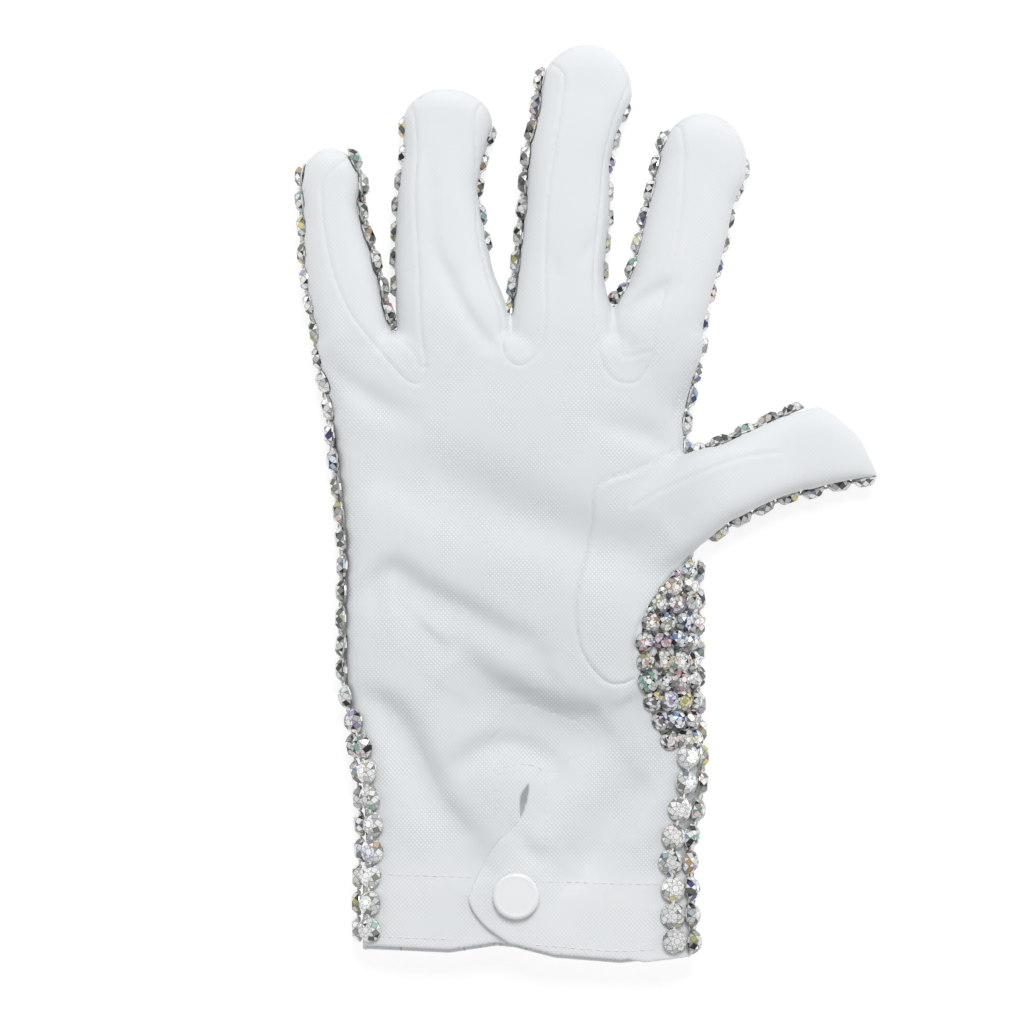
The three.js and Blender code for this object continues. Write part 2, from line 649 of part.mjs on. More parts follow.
// Every stone's normal is squared to the way that its row runs
function alongRow(stones) {
  return stones.map((stone, i) => {
    const a = stones[Math.max(i - 1, 0)].place;
    const b = stones[Math.min(i + 1, stones.length - 1)].place;
    const along = stone.along ?? b.clone().sub(a).normalize();
    const normal = stone.normal.clone().addScaledVector(along, -stone.normal.dot(along)).normalize();
    return { ...stone, along, normal };
  });
}

// One closed body from rows and columns of stones. Neighbours meet face to face at their girdles.
function stoneField(grid) {
  const at = (r, c) => grid[r]?.[c] ?? null;
  const points = [];
  const triangles = [];
  const add = (p) => points.push(p) - 1;
  const quad = (a, b, c, d) => triangles.push(a, b, c, a, c, d);
  const half = STONE_PITCH / 2;
  const sideHalf = half * Math.tan(Math.PI / 8);
  for (let r = 0; r < grid.length; r += 1) {
    for (let c = 0; c < grid[r].length; c += 1) {
      const stone = at(r, c);
      if (!stone) continue;
      const { place, normal, along } = stone;
      const across = new THREE.Vector3().crossVectors(along, normal);
      // Round the stone, turning from along to across seen from its table
      const ways = [
        { way: along, turn: across, next: at(r + 1, c), mate: 'along' },
        { way: across, turn: along.clone().negate(), next: at(r, c + 1), mate: 'across' },
        { way: along.clone().negate(), turn: across.clone().negate(), next: at(r - 1, c), mate: 'along' },
        { way: across.clone().negate(), turn: along, next: at(r, c - 1), mate: 'across' },
      ];
      const low = [];
      const high = [];
      for (const { way, turn, next, mate } of ways) {
        let middle = place.clone().addScaledVector(way, half);
        let up = normal;
        let edge = turn;
        if (next) {
          middle = place.clone().add(next.place).multiplyScalar(0.5);
          up = normal.clone().add(next.normal).normalize();
          const fall = place.clone().sub(middle).dot(normal) / up.dot(normal);
          const theirFall = next.place.clone().sub(middle).dot(next.normal) / up.dot(next.normal);
          middle.addScaledVector(up, Math.max((fall + theirFall) / 2, 0));
          const theirs = mate === 'along'
            ? new THREE.Vector3().crossVectors(next.along, next.normal)
            : next.along.clone();
          if (theirs.dot(turn) < 0) theirs.negate();
          edge = turn.clone().add(theirs).normalize();
        }
        for (const sign of [-1, 1]) {
          const corner = middle.clone().addScaledVector(edge, sign * sideHalf);
          low.push(add(corner));
          high.push(next ? add(corner.clone().addScaledVector(up, STONE_GIRDLE)) : low[low.length - 1]);
        }
      }
      const reach = (half * STONE_TABLE) / Math.cos(Math.PI / 8);
      const table = low.map((_, k) => {
        const angle = ((k - 0.5) * Math.PI) / 4;
        return add(place.clone()
          .addScaledVector(normal, STONE_HEIGHT)
          .addScaledVector(along, reach * Math.cos(angle))
          .addScaledVector(across, reach * Math.sin(angle)));
      });
      for (let k = 0; k < 8; k += 1) {
        const n = (k + 1) % 8;
        quad(high[k], table[k], table[n], high[n]);
        if (k % 2 === 0) continue;
        if (high[k] !== low[k]) triangles.push(low[k], high[k], high[n]);
        if (high[n] !== low[n]) triangles.push(low[k], high[n], low[n]);
      }
      for (let k = 1; k < 7; k += 1) {
        triangles.push(table[0], table[k + 1], table[k], low[0], low[k], low[k + 1]);
      }
    }
  }
  return toSolid(closedMesh(points, triangles));
}

const stoneColumn = (frames) => alongRow(spaced(frames));

function insideOutline(x, y, outline) {
  let within = false;
  outline.forEach(([ax, ay], i) => {
    const [bx, by] = outline[(i + 1) % outline.length];
    if ((ay > y) !== (by > y) && x < ax + ((bx - ax) * (y - ay)) / (by - ay)) within = !within;
  });
  return within;
}

function climb(y, table) {
  const k = table.findIndex((row) => row.y <= y);
  const [a, b] = [table[k - 1], table[k]];
  return a.arc + ((b.arc - a.arc) * (y - a.y)) / (b.y - a.y);
}

function edgeStones() {
  const rows = {};
  for (const { name, finger, side, from, to, fromX, toX } of EDGE_ROWS) {
    const frames = fingerFrames(FINGERS[finger], side, EDGE_ARC).filter(({ place }) => (
      fromX ? place.x < fromX && place.x > toX : place.y < from && place.y > to
    ));
    rows[name] = stoneField(stoneColumn(frames).map((stone) => [stone]));
  }
  return rows;
}

// The little finger's outer edge and the hand's, with a second column outside near the cuff
function leftStones() {
  const frames = fingerFrames(FINGERS.little, -1, EDGE_ARC).filter(({ place }) => place.y < 86.6 && place.y > 45);
  for (let y = HAND_TOP_LEFT; y > LOWEST_STONE - 3; y -= 2) {
    frames.push(sideFrame(palmStation(y), -1, climb(y, LEFT_CLIMB)));
  }
  const edge = stoneColumn(frames).filter(({ place }) => place.y > LOWEST_STONE);
  const outer = alongRow(edge.map(({ place: { y } }) => (
    sideFrame(palmStation(Math.min(y, 30)), -1, climb(y, LEFT_CLIMB) - STONE_PITCH)
  )));
  return stoneField(edge.map((stone, i) => {
    const { y } = stone.place;
    return [stone, climb(y, LEFT_CLIMB) > SECOND_COLUMN_ARC ? outer[i] : null];
  }));
}

// The first finger's outer edge down to the thumb
function indexStones() {
  const frames = fingerFrames(FINGERS.index, 1, EDGE_ARC).filter(({ place }) => place.y < 89 && place.y > 50);
  for (let y = 44; y > 20; y -= 2) frames.push(sideFrame(palmStation(Math.min(y, 38)), 1, EDGE_ARC));
  return stoneField(stoneColumn(frames).map((stone) => [stone]));
}

// Under the thumb the stones come round on to the palm in several columns
function rightStones() {
  const rows = [];
  for (let y = HAND_TOP_RIGHT; y > LOWEST_STONE; y -= STONE_PITCH) rows.push(y);
  const columns = Array.from({ length: STONE_COLUMNS_RIGHT }, (_, c) => alongRow(
    rows.map((y) => sideFrame(palmStation(y), 1, climb(y, RIGHT_CLIMB) + c * STONE_PITCH)),
  ));
  const visible = [...thumbEdgeLine, [60, -14], [60, -130], ...wrapRightLine.slice().reverse()];
  return stoneField(rows.map((y, r) => columns.map((column, c) => {
    const { x } = column[r].place;
    return c === 0 || insideOutline(x, y, visible) ? column[r] : null;
  })));
}

const stonePieces = {
  stones_left_edge: leftStones(),
  stones_index_right: indexStones(),
  stones_right_edge: rightStones(),
  ...edgeStones(),
};

// The field under the glove: the stones there are as thick as this bed
function stoneBed() {
  const outline = inside.slice(WIDEST);
  return outline.extrude(BED_THICKNESS).subtract(belowCuff).simplify(BED_TOLERANCE);
}

// The glove
const glove = new THREE.Group();

function addPiece(name, solid, material) {
  const mesh = new THREE.Mesh(toGeometry(solid), material);
  mesh.name = name;
  glove.add(mesh);
  return mesh;
}

for (const [name, solid] of Object.entries(clothPieces())) {
  addPiece(name, solid.simplify(CLOTH_TOLERANCE), cloth);
}
addPiece('snap_cap', snapCap(), snapPlastic);
addPiece('snap_post', snapPost(), snapPlastic);
addPiece('back_stones', stoneBed(), stoneGlass);
for (const [name, solid] of Object.entries(stonePieces)) {
  addPiece(name, solid, stoneGlass);
}

// The middle of the finished glove's plan is the origin
const bounds = new THREE.Box3().setFromObject(glove);
const centre = bounds.getCenter(new THREE.Vector3());
for (const mesh of glove.children) mesh.geometry.translate(-centre.x, -centre.y, -bounds.min.z);

export default glove;
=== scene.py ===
# A right-hand dress glove that lies on its back, palm side up, with cut stones over the whole back.
# Tables are in millimetres in the glove's own frame: +X to the thumb, +Y to the fingertips, +Z up.
import math

import bpy
import numpy as np
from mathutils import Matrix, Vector
from mathutils.bvhtree import BVHTree
from mathutils.kdtree import KDTree


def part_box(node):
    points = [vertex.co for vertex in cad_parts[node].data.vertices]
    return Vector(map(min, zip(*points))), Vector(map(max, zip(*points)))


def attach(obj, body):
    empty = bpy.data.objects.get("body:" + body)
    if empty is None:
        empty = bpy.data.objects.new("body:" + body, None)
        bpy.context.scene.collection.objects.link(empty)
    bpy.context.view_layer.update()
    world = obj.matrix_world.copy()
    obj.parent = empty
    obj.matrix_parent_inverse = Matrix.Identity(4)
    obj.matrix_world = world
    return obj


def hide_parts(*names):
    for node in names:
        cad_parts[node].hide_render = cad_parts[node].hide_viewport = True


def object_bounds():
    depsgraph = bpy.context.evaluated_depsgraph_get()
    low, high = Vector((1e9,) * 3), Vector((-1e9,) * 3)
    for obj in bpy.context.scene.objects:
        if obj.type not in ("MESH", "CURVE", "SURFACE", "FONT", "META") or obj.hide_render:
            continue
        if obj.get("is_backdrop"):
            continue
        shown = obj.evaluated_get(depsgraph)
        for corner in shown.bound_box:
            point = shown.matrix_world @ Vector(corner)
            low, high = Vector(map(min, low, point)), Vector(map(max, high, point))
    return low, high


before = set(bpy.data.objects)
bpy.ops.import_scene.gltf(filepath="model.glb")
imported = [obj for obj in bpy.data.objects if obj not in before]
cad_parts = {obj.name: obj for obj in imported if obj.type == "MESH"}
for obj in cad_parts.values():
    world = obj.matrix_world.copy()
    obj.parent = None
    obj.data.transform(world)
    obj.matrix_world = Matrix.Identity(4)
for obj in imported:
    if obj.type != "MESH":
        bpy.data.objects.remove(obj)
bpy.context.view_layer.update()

MM = 0.001

# Cloth: walls, heights and the form's sections
CLOTH = 1.4
CLOTH_BOTTOM = 2.7
WIDEST = 5.5
TIP_WIDEST = 7.5
PANEL_SEAM = 11.3
FOURCHETTE_LOW = 9.6
FINGER_DOME = 3.0
BOTTOM_SQUARE = 4.0  # how square the flat bottom's corners are
LEAST_HALF = 0.3
END_FALL = 0.7  # how soon the slanted tip falls
TOP_FACETS = 56
LOW_FACETS = 20
STATION_STEPS = 8
TIP_SECTIONS = 16
TIP_END = math.radians(87)
VOXEL = 0.6
INSIDE_VOXEL = 1.3
FORM_SMOOTHING = 4
FAR = 1e9
TINY = 1e-9
# The fingers' and the thumb's roots are smoothed more: where that starts, is full, fades and ends
ROOT_SMOOTHING = 90
FINGER_ROOTS_Y = (8, 18, 28, 36)
THUMB_ROOT_X = (-10, -3, 34, 42)
THUMB_ROOT_Y = (-50, -42, 22, 28)
# How far from the flap's line the cloth is parted
FLAP_REACH = 4
# The flap's lift, and where it grows to the left and towards the cuff
FLAP_LIFT = 1.7
FLAP_LIFT_X = (1, 13)
FLAP_LIFT_Y = (80, 90)
# The step between the cuff's layers, where it fades along the edge, and the heights between them
CUFF_STEP = 1.4
CUFF_STEP_FADE = (10, 16)
LAYERS_PART = (8, 11)
INSIDE_SHORTER = 3
# Folds fade at the side seam and at their ends, and are softened in steps
FOLD_SOFTENING = 10
FOLD_SCALE = 1.7
FOLD_FADE = 3
FOLD_ENDS = (0.04, 0.96)
PUCKER_SQUEEZE = 1.8
# A seam's profile: a groove between two ridges. The seams between palm and back are shallow
GROOVE_DEPTH = 0.24
GROOVE_WIDTH = 0.45
RIDGE_HEIGHT = 0.05
RIDGE_PLACE = 1.3
RIDGE_WIDTH = 0.7
# How many rings of points a groove reaches, and how near to a seam's line its points lie
SEAM_RINGS = 5
SEAM_NEAR = 0.7
WRAP_NEAR = 1.0
SIDE_SEAM_SHARE = 0.25
# The thumb's piece stands over the palm: the step's heights on both sides and on the seam's own
# line, its width, and where it fades along the seam
THUMB_SIDE_UP = 0.4
PALM_SIDE_DOWN = 0.9
ON_SEAM_DOWN = 0.25
ON_SEAM = 0.05
THUMB_STEP_WIDTH = 1.5
THUMB_STEP_FADE = (0.28, 0.42)
# Rows of points from an open edge inwards: how far outwards and how deep under the surface. Only
# the cuff's rim runs on far inside, where the flap isn't near
RIM_ROWS = [
    (0.3, 0.2), (0.45, 0.6), (0.4, 1.1), (0.1, 1.5), (-1.0, 1.65), (-4.0, 1.65), (-8.0, 1.65),
]
CUFF_RIM_REACH = 9.0
OTHER_RIM_REACH = 0.8
# Which points of the rim are the cuff's, and which of them are clear of the flap
AT_CUFF = 0.9
CLEAR_OF_FLAP = 10

# Cotton: the knit's crossed waves and where they show, in metres in the frame, and its tones
WAVE_PERIOD = math.pi / 10  # a wave texture of scale 1 repeats after this many metres
KNIT_PITCH = 0.00078
KNIT_TURNS = (0.75, -0.75)
KNIT_ELSEWHERE = 0.16
KNIT_AT_HEM = 0.55
KNIT_WORN = 0.2
WORN_RANGE = (0.42, 0.58)
PALM_TO_FINGERS = (0.03, 0.055)
PALM_TO_THUMB = (0.026, 0.038)
HEM_TO_PALM = (-0.099, -0.09)
LEFT_TO_PALM = (-0.056, -0.03)
# The levels paint light and shade: a darker base colour on the palm is painted shade, and the
# palm's left side and the cloth over the hem get painted light
TONE = 0.5
PALM_PAINTED_SHADE = 0.3
HEM_PAINTED_LIGHT = 0.12
LEFT_PAINTED_LIGHT = 0.18
COTTON = (0.77, 0.785, 0.8)
DARK_TONE = (0.76, 0.785, 0.79)
LIGHT_TONE = 1.067

# Stones
STONE_PITCH = 6.9
STONE_RADIUS = 3.36
# Heights of the girdle and the table, and the facets' circles as shares of the radius
STONE_GIRDLE = 0.6
STONE_HEIGHT = 2.4
STONE_TABLE = 0.56
STONE_GAP = 0.5
STONE_CORE = 0.27
STONE_MIDDLE = 0.8
STONE_BACK = 0.9
STONE_BEVEL = 0.25
CORE_RISE = 0.03
# Painted shade along the facets' edges
FACET_EDGE_SHADE = (0.31, 0.32, 0.31)
LOOSE_SHIFT = 0.13
LOOSE_TILT = 0.08
# The stones that look out under an edge: height, how far inwards, how far turned down, size, and
# the least height of the edge's stones over them
UNDER_HEIGHT = 2.9
UNDER_INSET = 0.6
UNDER_TURN = math.radians(35)
UNDER_SIZE = 0.78
UNDER_ROOM = 6.3
# The threads between stones: height over the stones' backs, radius, half length, bend, longest gap
THREAD_HEIGHT = 0.7
THREAD_RADIUS = 0.32
THREAD_HALF = 0.9
THREAD_BEND = 0.15
THREAD_REACH = STONE_PITCH * 1.4
# A thread's ends are rounded: share of its length and of its radius
CAPSULE_SHAPE = [(0, 0.25), (0.06, 0.75), (0.2, 1), (0.5, 1), (0.8, 1), (0.94, 0.75), (1, 0.25)]
CAPSULE_SIDES = 6
# From here lines go straight down to the skin
HIGH_ABOVE = 40
DOWN_THE_HAND = np.array([0, -1.0, 0])

FINGERS = {
    "little": {
        "stations": [
            (-57.4, 24, 7.2, 12.6), (-60.4, 40, 10.6, 14.6), (-61.6, 46, 9.4, 15.3),
            (-64.4, 58.7, 9.3, 15), (-66.1, 68, 8.3, 14.6), (-67.3, 77, 7.2, 14.3),
            (-67.3, 83, 7.8, 14),
        ],
        "tip": (-67.1, 93.3),
    },
    "ring": {
        "stations": [
            (-34.6, 24, 12.5, 16.2), (-34.8, 40, 15.2, 16.4), (-34.9, 46, 15.1, 16.5),
            (-35.9, 51.5, 14.3, 16.4), (-37.3, 58.7, 13.1, 16), (-38.4, 70, 11.9, 15.6),
            (-38.9, 82, 10.5, 15.2), (-37.5, 91, 10.5, 14.9), (-36.4, 99.5, 11.8, 14.6),
        ],
        "tip": (-35.8, 108.8),
    },
    "middle": {
        "stations": [
            (-8, 24, 11.5, 16.2), (-6.4, 40, 13.9, 16.4), (-6.4, 47, 13.7, 16.5),
            (-6.8, 56.5, 11.8, 16.3), (-6.4, 63, 11.2, 16.1), (-5, 76, 11.1, 15.8),
            (-4.4, 90, 10.7, 15.4), (-2.2, 100, 10.8, 15), (0, 108, 12, 14.6),
        ],
        "tip": (-0.9, 120.4),
    },
    "index": {
        "stations": [
            (14.4, 24, 9, 13.2), (17.9, 40, 12.2, 15.6), (18.7, 47, 12.1, 16.2),
            (21.3, 54, 11, 16.2), (23, 60, 10.8, 16), (26, 72, 11.1, 15.6),
            (28.2, 81.5, 10.9, 15.2), (30.5, 88.5, 11.7, 14.8),
        ],
        "tip": (31.1, 102.5),
    },
    "thumb": {
        "stations": [
            (2, -20, 7, 14), (16, -8.5, 10.5, 18.4), (29.5, 2.6, 10.8, 18.4), (38, 6.2, 9.6, 17.6),
            (46, 9.9, 9.5, 16.8), (54, 13.1, 10.0, 15.8),
        ],
        "dome": 4.6,
        # The tip is cut off slantwise: place and half width of its rings, which all face along X
        "end": [
            (58.5, 14.2, 10.7), (61, 14.8, 10.5), (64, 14.5, 9.4), (66.5, 13.75, 8.2),
            (69.2, 13, 6.8), (71.8, 11.7, 5.1), (73.9, 9.8, 3), (75.4, 8.2, 1.5), (76.3, 7, 0.5),
        ],
    },
}

# The hand's body: place along it, left and right edges, crest, how square the dome is
PALM = np.array([
    (-126, -58.9, 28, 14.8, 5), (-109, -58.6, 27, 15, 5), (-99, -58.7, 26.8, 15.2, 4.6),
    (-90, -57.8, 26.6, 15.5, 4), (-80, -58.2, 28.4, 15.8, 3.4), (-70, -59, 29.4, 16.3, 3.1),
    (-58, -61, 28.6, 16.8, 2.9), (-46, -62.8, 28.2, 17.6, 2.8), (-30, -63.1, 28.3, 18.4, 2.7),
    (-14, -62.7, 28.2, 18.6, 2.6), (0, -63.9, 27, 18.4, 2.6), (14, -65.5, 25.6, 17.8, 2.6),
    (24, -67.2, 25.9, 17.2, 2.6), (33, -69.4, 28, 16.4, 2.8), (39, -70.6, 29.4, 16.2, 3),
    (42.6, -70.6, 30, 15.4, 3), (44.2, -70.4, 29.8, 13.4, 3), (44.8, -70, 29.6, 9, 3),
], float)
PALM_ROWS = [*np.arange(-126, 39, 2.0), *np.arange(39, 44.7, 0.7)]

CUFF_EDGE = [
    (-70, -116.4), (-61.5, -116.4), (-36, -117.6), (-23.5, -115.7), (-18.7, -116.2), (-8.3, -118.9),
    (9, -120.3), (30, -117.9), (40, -117.9),
]

FOURCHETTES = {
    "fourchette_little_ring": [
        (-60, 92), (-68.5, 85), (-69.2, 76), (-66.8, 62), (-62.5, 51), (-57.5, 44), (-53, 38.5),
        (-47.5, 32.5), (-43.5, 31.5), (-42.2, 37), (-43.5, 46), (-44, 62), (-45, 80), (-44.5, 94),
        (-46, 106),
    ],
    "fourchette_ring_middle": [
        (-25, 107), (-29, 102), (-29, 90), (-28.6, 72), (-25.4, 58), (-22.2, 49), (-22.2, 43),
        (-21, 38), (-17, 36), (-12.5, 40), (-10.8, 48), (-10.9, 62), (-10.2, 80), (-8, 96),
        (-6, 112), (-13, 116),
    ],
    "fourchette_middle_index": [
        (13, 114), (10, 108), (5.1, 93), (3.5, 78), (2, 62), (2.2, 47), (4, 37), (7.5, 32.2),
        (12.5, 31.6), (16, 35.5), (17.6, 43), (21, 58), (23.7, 70), (25.2, 84), (24.5, 98),
        (17, 102),
    ],
}
THUMB_SEAM = [
    (29.8, 20), (27.3, 17.3), (22, 13.5), (14, 8.8), (5, 5.6), (1.6, 2), (1.4, -5), (0, -13),
    (-2.6, -25), (-2.6, -33), (-0.6, -40), (4.5, -46.2), (9, -47.2), (13, -45.5),
]
THUMB_LOWER_EDGE = [
    (12.2, -40), (13.5, -32), (17, -26.5), (20.4, -21.4), (24.8, -16.4), (29.8, -13.8),
]
THUMB_ROOT = 30
WRAP_LEFT = [
    (-66, -50), (-61.5, -55.5), (-57.5, -62), (-56, -76), (-54.5, -86), (-54, -97), (-54.5, -110),
    (-54.5, -130),
]
WRAP_RIGHT = [
    (13, -45.5), (13.4, -53), (17.6, -59), (20.5, -63), (24.2, -66), (24.4, -71), (22.8, -80),
    (21.2, -89), (20.6, -100), (20.6, -130),
]

SLIT_EYE = [
    (-15.4, -72.9), (-17.5, -76), (-17.9, -79), (-17.6, -82.7), (-16.7, -81.8), (-15.4, -78.5),
    (-14.8, -74.2),
]
# The flap's free edge from the foot of the slit's eye round to the cuff's edge
FLAP_LINE = [
    (-17.2, -82.3), (-18.3, -84.2), (-20.6, -86.4), (-24.1, -90.2), (-27.2, -95.2), (-30, -101.7),
    (-30.4, -103.8), (-29.1, -106.7), (-26.6, -109.8), (-23.6, -112.2), (-19.6, -114.8),
    (-15.6, -117), (-12, -119.6), (-9, -123),
]
SNAP = {"x": -18.5, "y": -102.5, "radius": 6.1, "height": 1.9}
# The cap's profile as shares of its radius and height
SNAP_PROFILE = [
    (0.9, 0), (0.985, 0.15), (1, 0.4), (0.985, 0.65), (0.94, 0.88), (0.88, 1), (0.82, 0.985),
    (0.78, 0.955), (0.72, 0.95), (0.35, 0.99), (0.05 / SNAP["radius"], 1),
]
SNAP_SIDES = 64

# Rows of stones
ARC_FACETS = 96
EDGE_ARC = 1.7
# Where the stones look out from under the cloth's side: the row's place along the section, and
# how far the stones sink into the cloth
TUCKS = {
    "stones_ring_left": (-0.2, 1.6), "stones_ring_right": (-0.2, 1.7),
    "stones_middle_left": (1.2, 0.5), "stones_middle_right": (-0.4, 1.9),
    "stones_index_left": (0.8, 1.0), "stones_index_right": (-0.4, 2.0),
    "stones_thumb_upper": (1.0, 0.5), "stones_thumb_lower": (0.2, 0.7),
    "stones_little_right": (1.5, 0.4),
}
EDGE_ROWS = [
    ("stones_little_right", "little", 1, "y", 90.3, 46),
    ("stones_ring_left", "ring", -1, "y", 99.5, 51),
    ("stones_ring_right", "ring", 1, "y", 96.8, 65),
    ("stones_middle_left", "middle", -1, "y", 112.1, 49),
    ("stones_middle_right", "middle", 1, "y", 103.4, 58),
    ("stones_index_left", "index", -1, "y", 95.5, 51),
    ("stones_thumb_upper", "thumb", -1, "x", 55, 25),
    ("stones_thumb_lower", "thumb", 1, "x", 73, 29),
]
LEFT_CLIMB = [
    (120, 1.7), (-44, 1.7), (-52, 3.2), (-58, 4.9), (-64, 6), (-76, 6.5), (-85, 7.4), (-100, 8),
    (-130, 7.8),
]
RIGHT_CLIMB = [
    (120, -1.9), (-57, -1.9), (-66, 0.6), (-74, 1), (-80, 2.3), (-87, 3.3), (-94, 3.6), (-130, 3.6),
]
# The patch under the thumb: a row's place along the hand and its stones' places across it
PATCH = [
    (-17.6, [26.6]), (-21.6, [22.6, 26.9]), (-26.2, [19, 23.4, 27.3]),
    (-31, [16.6, 21.1, 25.3, 27.5]), (-36, [14.9, 19.6, 24, 27.2]),
    (-41.2, [15.2, 19.9, 24.4, 27.5]), (-46.4, [15.8, 20.4, 24.7, 27.7]),
    (-51.7, [17.4, 21.6, 25, 28]), (-57, [19.4, 23.6, 27.6]), (-61.8, [21.6, 25.6, 28]),
]
PATCH_SIZE = 0.82
# The small stones between the patch's, darkened as painted shade in the gaps, and how near two of
# those lie with one between them
FILLER_SIZE = 0.46
FILLER_DEPTH = 0.5
FILLER_PAINTED_SHADE = 0.45
FILLER_NEAR = 6.6
# The patch's stones: their sizes' spread, how far they face up and how high they lie
PATCH_SIZES = (0.92, 1.06)
PATCH_UP = 0.15
PATCH_LIFT = 0.2
# Small stones along the lower edge of the thumb's piece
THUMB_UNDER = [
    (35.6, -9.4), (31, -12.6), (26.9, -15.6), (23.2, -19), (19.9, -22.9), (17, -27.4),
    (14.8, -32.2),
]
THUMB_UNDER_SIZE = 0.58
THUMB_UNDER_TURN = 1.2
# Stones between the fingers' roots: place and size
WEB_STONES = [
    (-51.2, 47, 6.4, 0.5), (-50.8, 44.4, 8.4, 0.4), (-20.1, 50.8, 3.4, 0.5), (-20, 47.8, 5.4, 0.45),
    (7.6, 54, 3, 0.6), (7.5, 50.4, 5, 0.5),
]
# The flat field under the glove: its first column and row, and how far it keeps from the outline
FIELD_LEFT = -61.8
FIELD_TOP = 42.0
FIELD_MARGIN = 3.2
FIELD_FINGERS_FROM = 46.5
FIELD_TIP = 3.9
FIELD_AHEAD = 2.2
# The cloth's dents round the stones that are sunk deep enough
DENT_FROM = STONE_GAP * 0.7
DENT_WITHIN = 0.2
DENT_ROUND = 0.7
DENT_REACH = 6
DENT_BEHIND = 0.2
DENT_WALL = 0.8
DENT_ABOVE = 0.5
# Where the rows down the hand's sides begin and end
HAND_TOP_LEFT = 38
HAND_TOP_RIGHT = -18
LOWEST_STONE = -115
STONE_COLUMNS_RIGHT = 4
# The left side has a second column where the first one lies higher than this
SECOND_COLUMN_ARC = 5.4
# How deep the left edge and the first finger's edge sink, and between which places that grows
LEFT_SINK = 1.3
LEFT_SINK_GROWS = (12, 36)
INDEX_SINK_LESS = 1.1
INDEX_SINK_GROWS = (38, 50)
# The columns on both sides of the cuff's corner lie closer together
CORNER_LIFT = 1.6
CORNER_PITCH = 5.3

# Soft folds: a line in plan, the reach of the valley on its left and right side, and its depth.
# A negative depth is a ridge. The first is at the root of the little finger, the last ones are thin
# creases on the fingers.
FOLDS = [
    ([(-70.5, 38.2), (-64.7, 33), (-59.5, 29.3), (-52.9, 25.6), (-46.3, 22.4)], 3.0, 4.2, 1.0),
    ([(-50, 11), (-36, 5.6), (-22.7, -1.2), (-7, -7.5), (3.5, -11.7), (14, -11.2),
      (22, -6.4)], 8.5, 8.0, 2.2),
    ([(-62, -26.4), (-58.1, -23.8), (-54.2, -20), (-50.8, -17.8), (-47.6, -19.2), (-44.2, -21.8),
      (-38.5, -25), (-32.7, -27.8), (-27.4, -30.8), (-22.2, -33.7), (-17, -35.8),
      (-12.7, -40)], 3.4, 9.0, 1.8),
    ([(-34.5, -39), (-28, -45), (-22.7, -49), (-14.8, -52.9), (-7, -55.8), (1, -56.3),
      (4.6, -54.7)], 4.2, 13.0, 2.9),
    ([(-26, -56), (-20, -60), (-12, -63.4), (-3, -65), (6, -64), (14, -61)], 9.0, 16.0, 1.7),
    ([(-60.8, -50.8), (-53.4, -52.9), (-49, -56.8), (-45.5, -63.4), (-42.1, -70.7), (-38.5, -78.1),
      (-34.3, -83.6), (-28.5, -90.4)], 3.4, 7.0, 2.0),
    ([(-35.3, -71.3), (-32.7, -67.9), (-28, -64.7), (-21.4, -63.4), (-15.4, -64.7), (-10.1, -67.9),
      (-7, -72.6)], 3.2, 4.5, 1.4),
    ([(16.7, -71.3), (11.9, -76.5), (7.2, -83.6), (3, -91), (-1.7, -97.5)], 3.6, 8.0, 2.1),
    ([(3.5, 20.6), (14, 17.7), (20.6, 15.6), (25.1, 15.1)], 4.2, 2.6, 1.1),
    ([(-58.1, 6.7), (-49, 3.5), (-38.5, -3), (-26.6, -9.6)], 5.0, 5.0, 0.5),
    ([(-18.8, -85.7), (-14.8, -91), (-10.9, -93.2)], 2.6, 2.6, 0.7),
    ([(-40.2, 68.4), (-38.2, 63.3), (-35.3, 57.9), (-32.7, 52.1), (-29.5, 46.9), (-26.1, 42.7),
      (-22.7, 39.8)], 1.5, 1.9, 0.8),
    ([(-41.5, 92), (-40.4, 78), (-40.2, 68.4)], 1.4, 1.4, 0.3),
    ([(8.8, 48.7), (14, 52.6), (19.3, 56), (21.4, 57.6)], 1.8, 2.6, 0.9),
    ([(2, 69.7), (-0.1, 66), (-1.7, 62.3)], 1.5, 1.5, 0.4),
    ([(-9.3, 65.4), (-8.3, 58.7)], 1.2, 1.2, 0.3),
]
# Sewn lines in the middle of a piece: the groove's place
SEWN_LINES = [
    [(7.7, 48.7), (8.8, 41.9), (9.1, 38.7), (11.9, 38.5), (16.4, 39.8)],
    [(-50, 44.2), (-46.1, 40.3), (-44.2, 37.4), (-43.7, 35.6), (-41.6, 35.6)],
    [(11.9, -0.9), (18.8, 3), (27.2, 6.9), (34, 9.8), (41.3, 12.2), (50, 13.3)],
]
# Small puckers on the left rim: place in plan, reach and depth
PUCKERS = [(-62, y, 2.6, 0.35) for y in (14, 3.5, -15, -25.3, -41, -51.6, -62, -77.8)]

# Lines of stitches in plan, at the hem and round the slit
STITCH_LENGTH = 1.4
STITCH_RADIUS = 0.12
STITCH_PITCH = 2.3
STITCH_BEND = 0.12
STITCH_LINES = [
    [(-57, -96.7), (-45, -97.2), (-33, -97.6), (-27.6, -98)],
    [(-22, -98.3), (-8, -98.9), (6, -99.3), (18.5, -99.6)],
    [(-57, -113.2), (-45, -113.6), (-33, -114)],
    [(-14, -115.2), (-2, -116.3), (8, -117), (19, -116.5)],
    [(-23.5, -80.5), (-23.6, -74), (-22.8, -70), (-20, -68.5), (-14.5, -68.4), (-11.4, -70),
     (-10.6, -74), (-10.6, -91.2)],
]
